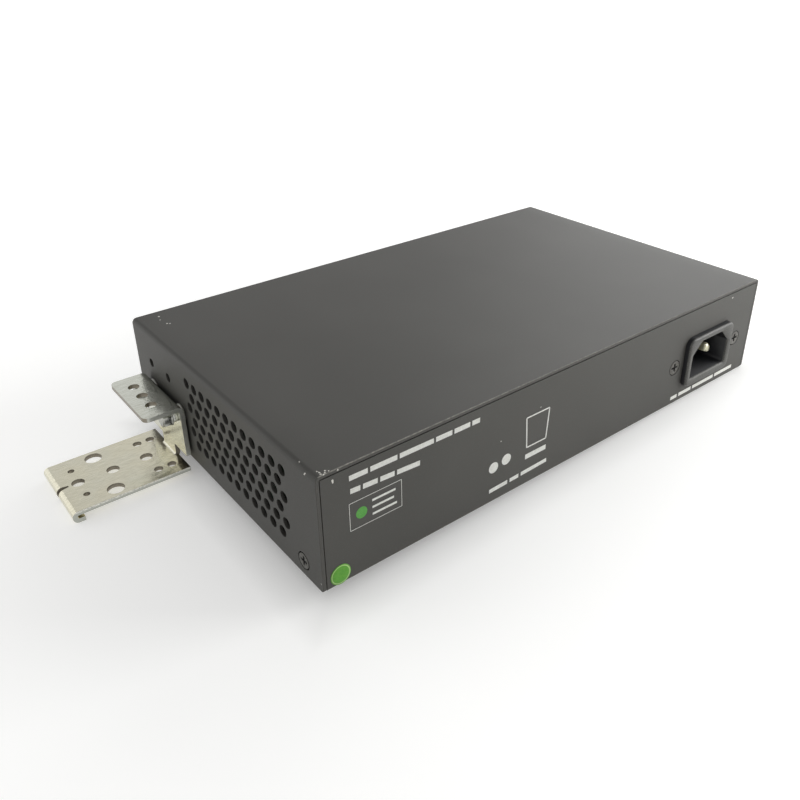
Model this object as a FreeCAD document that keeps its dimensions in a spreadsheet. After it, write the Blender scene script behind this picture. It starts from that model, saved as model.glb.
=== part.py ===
import FreeCAD, Part
import Sketcher
import math
import os

# A small Ethernet switch with its own mains supply, in a folded steel case, with a
# zinc-plated clip on one side that hooks over a 35 mm mounting rail.
#
# Frame, in millimetres: the origin is at the centre of the case's underside, +Z is up,
# +X is the side that carries the rail clip, -Y is the front with the network sockets,
# and +Y is the rear panel with the mains inlet.

SIZES = (
    # the case
    ("case_width", 210.0, "across the two skirts of the cover"),
    ("case_depth", 125.0, "front panel to rear panel, outside"),
    ("case_height", 40.0, "underside to top"),
    ("cover_sheet", 1.2, "steel sheet of the cover"),
    ("tray_sheet", 1.2, "steel sheet of the tray"),
    ("bend_inside", 0.6, "inside radius of the case's bends"),
    ("fit_gap", 0.2, "slip between the tray and the cover's skirts"),
    ("seam_gap", 0.3, "gap over the tray's end panels"),
    # the vent field in the skirt on the clip's side
    ("vent_bore", 3.8, "diameter of a vent hole"),
    ("vent_sides", 10, "flats that a vent hole is drawn with"),
    ("vent_pitch", 5.65, "spacing along a row"),
    ("vent_rise", 4.72, "spacing between rows"),
    ("vent_count", 12, "holes in a long row"),
    ("vent_pairs", 3, "pairs of one short and one long row"),
    ("vent_rear_inset", 18.3, "rear panel to the last hole of a long row"),
    ("vent_foot", 8.75, "underside to the lowest row"),
    # the pair of bracket holes high on each skirt
    ("ear_bore", 3.3, "diameter of an ear hole"),
    ("ear_inset", 13.6, "front panel to the first ear hole"),
    ("ear_pitch", 14.5, "spacing of the ear holes"),
    ("ear_rise", 27.3, "underside to the ear holes"),
    # countersunk screws that close the cover
    ("cover_screw_inset", 9.9, "end panel to a cover screw"),
    ("cover_screw_rise", 5.2, "underside to a cover screw"),
    ("cover_screw_head", 5.4, "head diameter"),
    ("thread_bore", 3.0, "M3 thread"),
    ("plain_sides", 8, "flats that a hidden fastener and its hole are drawn with"),
    ("cover_screw_reach", 4.2, "length of a cover screw"),
    ("tab_length", 11.0, "tray tab behind a cover screw"),
    ("tab_rise", 10.0, "height of a tray tab"),
    ("tab_foot", 5.0, "how far an angle's foot reaches in from its wall"),
    # the tall tray wall that backs the rail clip
    ("wall_length", 38.0, "length of that wall"),
    ("wall_rise", 23.0, "height of that wall"),
    # the rail clip, folded from one strip
    ("clip_sheet", 1.6, "zinc-plated steel"),
    ("clip_bend", 1.0, "inside radius of the clip's two large bends"),
    ("clip_width", 31.6, "width of the strip"),
    ("clip_inset", 24.9, "front panel to the clip's centre line"),
    ("clip_flange", 12.4, "how far the top flange stands out from the leg"),
    ("clip_top", 22.0, "height of the flange's upper face"),
    ("clip_drop", 2.7, "underside of the case down to the plate's upper face"),
    ("clip_reach", 41.0, "how far the plate stands out from the leg"),
    ("clip_neck", 10.6, "width of the neck between leg and plate"),
    ("clip_wing", 2.0, "underside of the case up to the leg's lower edge"),
    ("wing_inset", 0.7, "plate's inner end, measured in from the leg's face"),
    ("hook_mouth", 1.2, "gap of the hook that takes the rail's edge"),
    ("hook_depth", 2.4, "how far the hook's lip returns"),
    ("hook_bend", 0.4, "inside radius of the hook"),
    ("slit_length", 4.0, "slit that parts the hook into two fingers"),
    ("slit_mouth", 2.6, "width of the slit at the hook"),
    ("slit_end", 0.8, "width of the slit at its root"),
    ("corner_round", 2.2, "rounded corners of the flange"),
    ("flange_bore", 4.0, "three holes in the flange"),
    ("flange_bore_out", 6.6, "leg to those holes"),
    ("flange_bore_pitch", 7.8, "spacing of those holes"),
    ("plate_large_bore", 6.0, "two large holes in the plate"),
    ("plate_large_out", 24.6, "leg to the large holes"),
    ("plate_large_pitch", 22.7, "spacing of the large holes"),
    ("plate_middle_bore", 4.5, "three holes on the centre line"),
    ("plate_middle_first", 9.2, "leg to the first of them"),
    ("plate_middle_pitch", 12.25, "spacing of the three"),
    ("plate_tapped_bore", 3.2, "four small tapped holes"),
    ("plate_tapped_first", 3.8, "leg to the inner pair"),
    ("plate_tapped_second", 8.7, "leg to the outer pair"),
    ("plate_tapped_pitch", 20.0, "spacing of a pair"),
    ("plate_pin_bore", 2.3, "two pin holes near the hook"),
    ("plate_pin_out", 33.5, "leg to the pin holes"),
    ("plate_pin_pitch", 16.5, "spacing of the pin holes"),
    # what holds the clip to the case
    ("clip_screw_rise", 17.0, "underside to the clip's screws"),
    ("clip_screw_pitch", 22.4, "spacing of the two screws"),
    ("hex_flats", 5.5, "across the flats of the head"),
    ("hex_height", 3.0, "height of the head"),
    ("head_flange", 6.3, "diameter of the flange under the head"),
    ("head_flange_sheet", 0.6, "its thickness"),
    ("screw_slip", 0.15, "slip of a screw in its hole, per side"),
    ("collar_size", 4.7, "outside diameter of the collar under the head"),
    ("collar_height", 1.8, "its height"),
    ("shim_size", 7.0, "outside diameter of the ring behind the leg"),
    ("shim_sheet", 0.8, "its thickness"),
    ("nut_size", 5.6, "outside diameter of a clinch nut"),
    ("nut_height", 3.0, "its height"),
    ("screw_over", 0.6, "screw end past its nut"),
    # mains inlet in the rear panel
    ("inlet_side", 30.6, "side of the case without the clip to the inlet's centre"),
    ("inlet_rise", 16.8, "underside to the inlet's centre"),
    ("inlet_screw_pitch", 40.0, "spacing of the inlet's screws"),
    ("inlet_screw_head", 6.0, "head diameter"),
    ("inlet_screw_reach", 8.6, "length of an inlet screw"),
    ("inlet_frame_width", 28.6, "raised frame, across"),
    ("inlet_frame_height", 20.6, "raised frame, up"),
    ("inlet_frame_round", 3.0, "corner radius of the frame"),
    ("inlet_proud", 2.2, "frame's height above the panel"),
    ("inlet_slip", 0.15, "slip of the frame in the panel's window"),
    ("inlet_flange_width", 49.0, "mounting flange behind the panel, across"),
    ("inlet_flange_height", 20.6, "mounting flange, up"),
    ("inlet_flange_sheet", 3.0, "its thickness"),
    ("inlet_body_width", 27.0, "body behind the flange, across"),
    ("inlet_body_height", 19.0, "body behind the flange, up"),
    ("inlet_body_depth", 13.0, "body behind the flange, deep"),
    ("inlet_mouth_width", 24.2, "cavity, across"),
    ("inlet_mouth_height", 16.2, "cavity, up"),
    ("inlet_mouth_depth", 16.5, "cavity, deep"),
    ("inlet_mouth_bevel", 5.2, "bevel of the cavity's two upper corners"),
    ("inlet_pin_width", 2.0, "contact pin, across"),
    ("inlet_pin_height", 4.0, "contact pin, up"),
    ("inlet_pin_recess", 1.5, "pin tip below the cavity's mouth"),
    ("inlet_pin_pitch", 14.0, "spacing of the two live pins"),
    ("inlet_earth_rise", 4.0, "earth pin above the other two"),
    ("inlet_pin_axis", 2.0, "live pins below the inlet's centre"),
    ("inlet_tail", 4.0, "pin's tail behind the body"),
    ("inlet_tail_sheet", 1.0, "thickness of the tail where it turns down"),
    ("inlet_nut_flats", 5.5, "across the flats of the inlet's nuts"),
    ("inlet_nut_height", 2.4, "height of the inlet's nuts"),
    # round paper sticker low on the rear panel
    ("sticker_size", 8.2, "diameter"),
    ("sticker_sheet", 0.12, "thickness"),
    ("sticker_inset", 6.0, "side of the case with the clip to its centre"),
    ("sticker_rise", 4.4, "underside to its centre"),
    # boards
    ("board_sheet", 1.6, "thickness of a circuit board"),
    ("board_lift", 5.0, "height of the posts"),
    ("board_front_gap", 1.4, "front panel to the main board"),
    ("main_board_depth", 84.0, "main board, deep"),
    ("main_board_side_gap", 4.4, "tall tray wall to the main board"),
    ("board_gap", 4.4, "power board to the main board"),
    ("power_board_width", 44.0, "power board, across"),
    ("power_board_depth", 88.0, "power board, deep"),
    ("power_board_side_gap", 4.0, "tray tab to the power board"),
    ("power_board_rear_gap", 1.4, "body of the inlet to the power board"),
    ("post_flats", 5.0, "across the flats of a post"),
    ("post_inset", 5.0, "board's edge to a post's centre"),
    ("main_post_front", 34.0, "front edge of the main board to its front posts"),
    ("board_screw_head", 5.0, "head diameter"),
    ("board_screw_rise", 1.8, "head height"),
    ("board_screw_grip", 4.0, "screw in its post"),
    # network sockets
    ("socket_pitch", 14.0, "spacing of the sockets"),
    ("socket_rim", 0.6, "housing beyond the end sockets"),
    ("socket_height", 13.4, "height of the housing"),
    ("socket_depth", 18.0, "depth of the housing"),
    ("socket_side_gap", 3.0, "end of the main board to the housing"),
    ("socket_proud", 0.4, "housing in front of the panel"),
    ("socket_slip", 0.3, "slip of the shield in the panel's window"),
    ("jack_width", 11.9, "cavity, across"),
    ("jack_height", 8.0, "cavity, up"),
    ("jack_depth", 14.0, "cavity, deep"),
    ("jack_rise", 4.3, "board to the cavity"),
    ("latch_width", 6.2, "latch slot, across"),
    ("latch_height", 3.2, "latch slot, up"),
    ("shield_sheet", 0.3, "thickness of the shield"),
    ("contact_count", 8, "contact wires in a socket"),
    ("contact_pitch", 1.02, "spacing of the contact wires"),
    ("contact_wire", 0.45, "thickness of a wire"),
    ("contact_length", 7.0, "length of a wire"),
    # status lights
    ("light_width", 4.0, "light window, across"),
    ("light_height", 2.0, "light window, up"),
    ("light_length", 7.0, "light, deep"),
    ("light_pitch", 5.4, "spacing along a row"),
    ("light_columns", 4, "port lights in a row"),
    ("light_row", 5.0, "spacing of the two rows"),
    ("light_rise", 4.0, "board to the lower row"),
    ("light_side_gap", 3.6, "end of the main board to the first light"),
    ("light_slip", 0.1, "slip of a light in the panel"),
    ("holder_depth", 4.0, "holder of the lights, deep"),
    ("holder_rim", 1.4, "holder around the lights"),
    # parts on the main board
    ("magnet_width", 26.0, "line transformer, across"),
    ("magnet_depth", 12.0, "line transformer, deep"),
    ("magnet_height", 6.5, "line transformer, up"),
    ("magnet_gap", 3.0, "housing to the line transformers"),
    ("chip_width", 20.0, "switch chip"),
    ("chip_height", 1.4, "its height"),
    ("chip_gap", 7.0, "line transformers to the chip"),
    ("sink_width", 27.0, "heat sink on the chip"),
    ("sink_base", 2.0, "its base"),
    ("sink_height", 10.0, "its whole height"),
    ("fin_count", 6, "fins"),
    ("fin_sheet", 1.2, "thickness of a fin"),
    # parts on the power board
    ("bulk_size", 16.0, "bulk capacitor, diameter"),
    ("bulk_height", 25.0, "bulk capacitor, height"),
    ("output_size", 8.0, "output capacitor, diameter"),
    ("output_height", 14.0, "output capacitor, height"),
    ("core_width", 22.0, "transformer core, across"),
    ("core_depth", 9.0, "transformer core, deep"),
    ("core_height", 20.0, "transformer core, up"),
    ("core_leg", 4.0, "outer leg and yoke of the core"),
    ("core_post", 6.0, "middle leg of the core"),
    ("winding_depth", 18.0, "winding, deep"),
    ("winding_slip", 0.2, "winding to core"),
    ("plate_sink_width", 26.0, "power stage's aluminium plate, across"),
    ("plate_sink_sheet", 2.0, "its thickness"),
    ("plate_sink_height", 22.0, "its height"),
    ("transistor_width", 10.0, "power transistor, across"),
    ("transistor_depth", 4.5, "power transistor, deep"),
    ("transistor_height", 15.0, "power transistor, up"),
    ("fuse_size", 5.2, "fuse, diameter"),
    ("fuse_length", 20.0, "fuse, length"),
    ("fuse_rise", 4.6, "board to the fuse's axis"),
    ("fuse_clip_width", 6.0, "fuse clip, along the fuse"),
    ("filter_width", 13.0, "filter capacitor, across"),
    ("filter_depth", 6.0, "filter capacitor, deep"),
    ("filter_height", 12.0, "filter capacitor, up"),
    ("choke_width", 14.0, "line choke, across"),
    ("choke_depth", 10.0, "line choke, deep"),
    ("choke_height", 13.0, "line choke, up"),
    ("choke_window", 5.0, "window in the choke"),
    ("stage_gap", 3.0, "spacing between the power board's stages"),
    ("link_depth", 16.0, "pin strip that joins the two boards, deep"),
    ("link_height", 6.0, "its height"),
    ("link_lap", 5.0, "its hold on each board"),
)

doc = FreeCAD.newDocument("rail_switch")
dims = doc.addObject("Spreadsheet::Sheet", "dims")
for row, (alias, number, meaning) in enumerate(SIZES, 1):
    dims.set("A%d" % row, alias)
    dims.set("B%d" % row, str(number))
    dims.set("C%d" % row, meaning)
    dims.setAlias("B%d" % row, alias)
doc.recompute()

PIECES = []


def value(expression):
    """The number that an expression on the sheet gives."""
    return float(dims.evalExpression(expression))


def bind(thing, **settings):
    """Bind properties of an object to expressions on the sheet."""
    for prop, expression in settings.items():
        thing.setExpression(prop, expression)
    return thing


def place(thing, x, y, z):
    for axis, expression in zip("xyz", (x, y, z)):
        thing.setExpression("Placement.Base." + axis, expression)
    return thing


TURN = {
    "Z": FreeCAD.Rotation(),
    "X": FreeCAD.Rotation(FreeCAD.Vector(0, 1, 0), 90),
    "-X": FreeCAD.Rotation(FreeCAD.Vector(0, 1, 0), -90),
    "Y": FreeCAD.Rotation(FreeCAD.Vector(1, 0, 0), -90),
    "-Y": FreeCAD.Rotation(FreeCAD.Vector(1, 0, 0), 90),
    "-Z": FreeCAD.Rotation(FreeCAD.Vector(1, 0, 0), 180),
}


def box(name, size, corner):
    solid = doc.addObject("Part::Box", name)
    bind(solid, Length=size[0], Width=size[1], Height=size[2])
    return place(solid, *corner)


def prism(name, radius, length, start, axis, sides="dims.plain_sides"):
    """A rod drawn with flats, for fasteners and what repeats many times."""
    solid = doc.addObject("Part::Prism", name)
    solid.Placement.Rotation = TURN[axis]
    bind(solid, Polygon=sides, Circumradius=radius, Height=length)
    return place(solid, *start)


def taper(name, first, last, length, start, axis):
    """A cone drawn with flats, from its first radius to its last."""
    ahead = TURN[axis].multVec(FreeCAD.Vector(0, 0, 1))
    rings = []
    for end, radius, reach in (("first", first, 0), ("last", last, 1)):
        ring = doc.addObject("Part::RegularPolygon", "%s_%s" % (name, end))
        ring.Placement.Rotation = TURN[axis]
        bind(ring, Polygon="2 * dims.plain_sides", Circumradius=radius)
        steps = [round(reach * part) for part in ahead]
        place(ring, *["%s + %d * (%s)" % (spot, step, length) for spot, step in zip(start, steps)])
        rings.append(ring)
    cone = doc.addObject("Part::Loft", name)
    cone.Sections = rings
    cone.Solid = True
    cone.Ruled = True
    return cone


def seat(name, head, sheet, start, axis):
    """What a right-angled countersink takes from a sheet, from its outer face."""
    return taper(name, head + " / 2", "%s / 2 - %s" % (head, sheet), sheet, start, axis)


def hexagon(name, flats, length, start, axis):
    """A six-sided prism, given across its flats."""
    return prism(name, "(%s) / 2 / cos(30 deg)" % flats, length, start, axis, "6")


def joined(name, solids):
    union = doc.addObject("Part::MultiFuse", name)
    union.Shapes = solids
    return union


def together(name, solids):
    """Separate solids under one name."""
    group = doc.addObject("Part::Compound", name)
    group.Links = solids
    return group


def less(name, solid, tools):
    """A solid with one or more tools cut from it."""
    cut = doc.addObject("Part::Cut", name)
    cut.Base = solid
    cut.Tool = tools[0] if len(tools) == 1 else joined(name + "_tools", tools)
    return cut


def piece(thing, label):
    """Give a finished sub-part the label that names its file."""
    thing.Label = label
    PIECES.append(thing)
    return thing


def new_body(name):
    return doc.addObject("PartDesign::Body", name)


def origin_feature(body, role):
    return [item for item in body.Origin.OriginFeatures if item.Role == role][0]


def new_sketch(body, name, plane):
    sketch = body.newObject("Sketcher::SketchObject", name)
    sketch.AttachmentSupport = [(origin_feature(body, plane), "")]
    sketch.MapMode = "FlatFace"
    return sketch


def pin_point(sketch, geometry, position, across, up):
    """Fix one point of a sketch by two expressions."""
    for kind, expression in (("DistanceX", across), ("DistanceY", up)):
        constraint = Sketcher.Constraint(kind, -1, 1, geometry, position, value(expression))
        number = sketch.addConstraint(constraint)
        sketch.setExpression("Constraints[%d]" % number, expression)


def along(start, end):
    """Which way an upright or level side of an outline runs, as two signs."""
    return [(after > before) - (after < before) for before, after in zip(start, end)]


def outline(body, name, plane, corners):
    """A closed outline whose corners are fixed by expressions.

    A corner is (across, up), or (across, up, radius) where the sheet is bent: such a
    corner lies between an upright and a level side, and becomes a tangent arc.
    """
    sketch = new_sketch(body, name, plane)
    spots = [(value(corner[0]), value(corner[1])) for corner in corners]
    count = len(corners)
    runs = []
    for number, corner in enumerate(corners):
        if len(corner) == 2:
            runs.append([corner])
            continue
        ends = []
        for neighbour in (number - 1, (number + 1) % count):
            signs = along(spots[number], spots[neighbour])
            ends.append(["%s + %d * (%s)" % (corner[part], signs[part], corner[2]) for part in (0, 1)])
        runs.append(ends)
    for number in range(count):
        leave = runs[number][-1][:2]
        reach = runs[(number + 1) % count][0][:2]
        points = [FreeCAD.Vector(value(spot[0]), value(spot[1]), 0) for spot in (leave, reach)]
        line = sketch.addGeometry(Part.LineSegment(*points), False)
        pin_point(sketch, line, 1, *leave)
    for number in range(count):
        follower = (number + 1) % count
        if len(corners[follower]) == 2:
            sketch.addConstraint(Sketcher.Constraint("Coincident", number, 2, follower, 1))
            continue
        enter, leave = runs[follower]
        pin_point(sketch, number, 2, *enter)
        add_bend(sketch, number, follower, enter, leave, corners[follower][2])
    return sketch


def add_bend(sketch, before, after, enter, leave, radius):
    """A tangent arc between the end of one side and the start of the next."""
    first = FreeCAD.Vector(value(enter[0]), value(enter[1]), 0)
    last = FreeCAD.Vector(value(leave[0]), value(leave[1]), 0)
    side = sketch.Geometry[before]
    heading = side.EndPoint - side.StartPoint
    left = heading.cross(last - first).z > 0
    heading.normalize()
    inward = FreeCAD.Vector(-heading.y, heading.x, 0) if left else FreeCAD.Vector(heading.y, -heading.x, 0)
    centre = first + inward * value(radius)
    circle = Part.Circle(centre, FreeCAD.Vector(0, 0, 1), value(radius))
    begin, finish = (first, last) if left else (last, first)
    angles = [math.atan2(point.y - centre.y, point.x - centre.x) for point in (begin, finish)]
    if angles[1] < angles[0]:
        angles[1] += 2 * math.pi
    arc = sketch.addGeometry(Part.ArcOfCircle(circle, *angles), False)
    start, end = (1, 2) if left else (2, 1)
    sketch.addConstraint(Sketcher.Constraint("Coincident", arc, start, before, 2))
    sketch.addConstraint(Sketcher.Constraint("Coincident", arc, end, after, 1))
    number = sketch.addConstraint(Sketcher.Constraint("Radius", arc, value(radius)))
    sketch.setExpression("Constraints[%d]" % number, radius)


def circles(body, name, plane, bore, centres):
    """Circles of one diameter about the given centres."""
    sketch = new_sketch(body, name, plane)
    for number, (across, up) in enumerate(centres):
        middle = FreeCAD.Vector(value(across), value(up), 0)
        circle = Part.Circle(middle, FreeCAD.Vector(0, 0, 1), value(bore) / 2)
        sketch.addGeometry(circle, False)
        pin_point(sketch, number, 3, across, up)
        constraint = Sketcher.Constraint("Diameter", number, value(bore))
        sketch.setExpression("Constraints[%d]" % sketch.addConstraint(constraint), bore)
    return sketch


def rectangle(body, name, plane, low, high):
    """A rectangle between two opposite corners."""
    corners = [low, (high[0], low[1]), high, (low[0], high[1])]
    return outline(body, name, plane, corners)


def pad(body, sketch, length, both=False, back=False):
    feature = body.newObject("PartDesign::Pad", sketch.Name + "_pad")
    feature.Profile = sketch
    feature.SideType = "Symmetric" if both else "One side"
    feature.Reversed = back
    bind(feature, Length=length)
    doc.recompute()
    return feature


def pocket(body, sketch, both=False, back=False):
    """Cut a sketch through the body, and make sure that it cut something."""
    before = body.Shape.Volume
    feature = body.newObject("PartDesign::Pocket", sketch.Name + "_cut")
    feature.Profile = sketch
    feature.Type = "ThroughAll"
    feature.SideType = "Symmetric" if both else "One side"
    feature.Reversed = back
    doc.recompute()
    if body.Shape.Volume >= before:
        raise ValueError(sketch.Name + " cuts nothing")
    return feature


NEAR = 0.001


def rounded(body, name, axis, spots, radius):
    """Round the straight edges along an axis that run through the given spots."""
    base = body.Tip
    along_axis = "XYZ".index(axis)
    rest = [part for part in range(3) if part != along_axis]
    wanted = [(value(first), value(second)) for first, second in spots]
    names = []
    for number, edge in enumerate(base.Shape.Edges, 1):
        if edge.Curve.TypeId != "Part::GeomLine":
            continue
        if abs(edge.tangentAt(edge.FirstParameter)[along_axis]) < 1 - NEAR:
            continue
        point = edge.Vertexes[0].Point
        here = (point[rest[0]], point[rest[1]])
        if any(math.dist(here, spot) < NEAR for spot in wanted):
            names.append("Edge%d" % number)
    if not names:
        raise ValueError("no edge for " + name)
    feature = body.newObject("PartDesign::Fillet", name)
    feature.Base = (base, names)
    bind(feature, Radius=radius)
    doc.recompute()
    return feature


def punched(body, name, start, axis, radius, length, sides="dims.plain_sides"):
    """A straight hole drawn with flats, cut from a body."""
    before = body.Shape.Volume
    feature = body.newObject("PartDesign::SubtractivePrism", name)
    feature.Placement.Rotation = TURN[axis]
    bind(feature, Polygon=sides, Circumradius=radius, Height=length)
    place(feature, *start)
    doc.recompute()
    if body.Shape.Volume >= before:
        raise ValueError(name + " cuts nothing")
    return feature


def repeated(body, name, feature, axis, spacing, count):
    """Repeat a feature along one of the body's axes."""
    pattern = body.newObject("PartDesign::LinearPattern", name)
    pattern.Originals = [feature]
    pattern.Direction = (origin_feature(body, axis), [""])
    pattern.Mode = "Spacing"
    bind(pattern, Offset=spacing, Occurrences=count)
    body.Tip = pattern
    doc.recompute()
    return pattern


# Places that several pieces share, as expressions on the sheet.
HALF_WIDTH = "dims.case_width / 2"
HALF_DEPTH = "dims.case_depth / 2"
SKIRT = "(dims.case_width / 2 - dims.cover_sheet)"
CEILING = "(dims.case_height - dims.cover_sheet)"
TRAY = "(dims.case_width / 2 - dims.cover_sheet - dims.fit_gap)"
TRAY_WALL = "(dims.case_width / 2 - dims.cover_sheet - dims.fit_gap - dims.tray_sheet)"
PANEL = "(dims.case_depth / 2 - dims.tray_sheet)"
OUTER_BEND = "(dims.bend_inside + %s)"
EAR_Y = "(dims.ear_inset - dims.case_depth / 2)"
COVER_SCREW_Y = "(dims.case_depth / 2 - dims.cover_screw_inset)"
CLIP_Y = "(dims.clip_inset - dims.case_depth / 2)"
CLIP_SCREWS = [CLIP_Y + sign + "dims.clip_screw_pitch / 2" for sign in (" - ", " + ")]
LEG_BACK = "(dims.case_width / 2 + dims.shim_sheet)"
LEG = "(dims.case_width / 2 + dims.shim_sheet + dims.clip_sheet)"
PLATE_TOP = "(-dims.clip_drop)"
PLATE_END = "(%s + dims.clip_reach)" % LEG
INLET_X = "(dims.inlet_side - dims.case_width / 2)"
INLET_SCREWS = [INLET_X + sign + "dims.inlet_screw_pitch / 2" for sign in (" - ", " + ")]
CLEARANCE = "dims.thread_bore / 2 + dims.screw_slip"
SIDES = (("near", "", "-X"), ("far", "-", "X"))
ENDS = (("rear", ""), ("front", "-"))
BOARD_UNDER = "(dims.tray_sheet + dims.board_lift)"
BOARD_TOP = "(dims.tray_sheet + dims.board_lift + dims.board_sheet)"
POWER_LEFT = "(dims.power_board_side_gap - %s)" % TRAY_WALL
MAIN_LEFT = "(%s + dims.power_board_width + dims.board_gap)" % POWER_LEFT
MAIN_RIGHT = "(%s - dims.main_board_side_gap)" % TRAY_WALL
MAIN_WIDTH = "(%s - %s)" % (MAIN_RIGHT, MAIN_LEFT)
MAIN_FRONT = "(dims.board_front_gap - %s)" % PANEL
# The row holds as many pairs of sockets as the board has room for beside the lights.
LIGHTS_WIDTH = "(dims.light_columns * dims.light_pitch + dims.light_width + dims.holder_rim)"
END_GAPS = "(dims.light_side_gap + dims.socket_side_gap + 2 * dims.socket_rim)"
SOCKET_ROOM = "(%s - %s - %s)" % (MAIN_WIDTH, LIGHTS_WIDTH, END_GAPS)
SOCKETS = "(2 * floor(%s / 2 / dims.socket_pitch))" % SOCKET_ROOM
SOCKET_WIDTH = "(%s * dims.socket_pitch + 2 * dims.socket_rim)" % SOCKETS
SOCKET_RIGHT = "(%s - dims.socket_side_gap)" % MAIN_RIGHT
SOCKET_LEFT = "(%s - %s)" % (SOCKET_RIGHT, SOCKET_WIDTH)
SOCKET_FRONT = "(-dims.case_depth / 2 - dims.socket_proud)"
LIGHT_LEFT = "(%s + dims.light_side_gap)" % MAIN_LEFT
LIGHT_COLUMNS = int(value("dims.light_columns"))
LIGHT_SPOTS = [(column, line) for line in (0, 1) for column in range(LIGHT_COLUMNS)] + [(LIGHT_COLUMNS, 0)]


def light_corner(column, line):
    """Lower front left corner of a status light."""
    across = "%s + %d * dims.light_pitch" % (LIGHT_LEFT, column)
    up = "%s + dims.light_rise + %d * dims.light_row" % (BOARD_TOP, line)
    return across, up


# The cover is one steel sheet folded into a U: the top and both skirts. A field of
# staggered round vents is punched in the skirt on the clip's side.
def make_cover():
    cover = new_body("cover_body")
    bend = OUTER_BEND % "dims.cover_sheet"
    section = outline(cover, "cover_section", "XZ_Plane", [
        ("-" + HALF_WIDTH, "0"),
        ("-" + HALF_WIDTH, "dims.case_height", bend),
        (HALF_WIDTH, "dims.case_height", bend),
        (HALF_WIDTH, "0"),
        (SKIRT, "0"),
        (SKIRT, CEILING, "dims.bend_inside"),
        ("-" + SKIRT, CEILING, "dims.bend_inside"),
        ("-" + SKIRT, "0"),
    ])
    pad(cover, section, "dims.case_depth", both=True)
    ears = [(EAR_Y + extra, "dims.ear_rise") for extra in ("", " + dims.ear_pitch")]
    pocket(cover, circles(cover, "ear_holes", "YZ_Plane", "dims.ear_bore", ears), both=True)
    for number, spot in enumerate(CLIP_SCREWS):
        start = (SKIRT, spot, "dims.clip_screw_rise")
        punched(cover, "clip_hole_%d" % number, start, "X", CLEARANCE, "dims.cover_sheet")
    tools = []
    for name, side, axis in SIDES:
        for end, sign in ENDS:
            start = (side + HALF_WIDTH, sign + COVER_SCREW_Y, "dims.cover_screw_rise")
            tools.append(seat("seat_%s_%s" % (name, end), "dims.cover_screw_head", "dims.cover_sheet",
                              start, axis))
    last = "(dims.case_depth / 2 - dims.vent_rear_inset)"
    for row in range(2 * int(value("dims.vent_pairs"))):
        short = 1 - row % 2
        for step in range(int(value("dims.vent_count")) - short):
            across = "%s - (%d + %d / 2) * dims.vent_pitch" % (last, step, short)
            start = (SKIRT, across, "dims.vent_foot + %d * dims.vent_rise" % row)
            tools.append(prism("vent_%d_%d" % (row, step), "dims.vent_bore / 2", "dims.cover_sheet",
                               start, "X", "dims.vent_sides"))
    piece(less("cover_punched", cover, [together("punches", tools)]), "top_cover")


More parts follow.
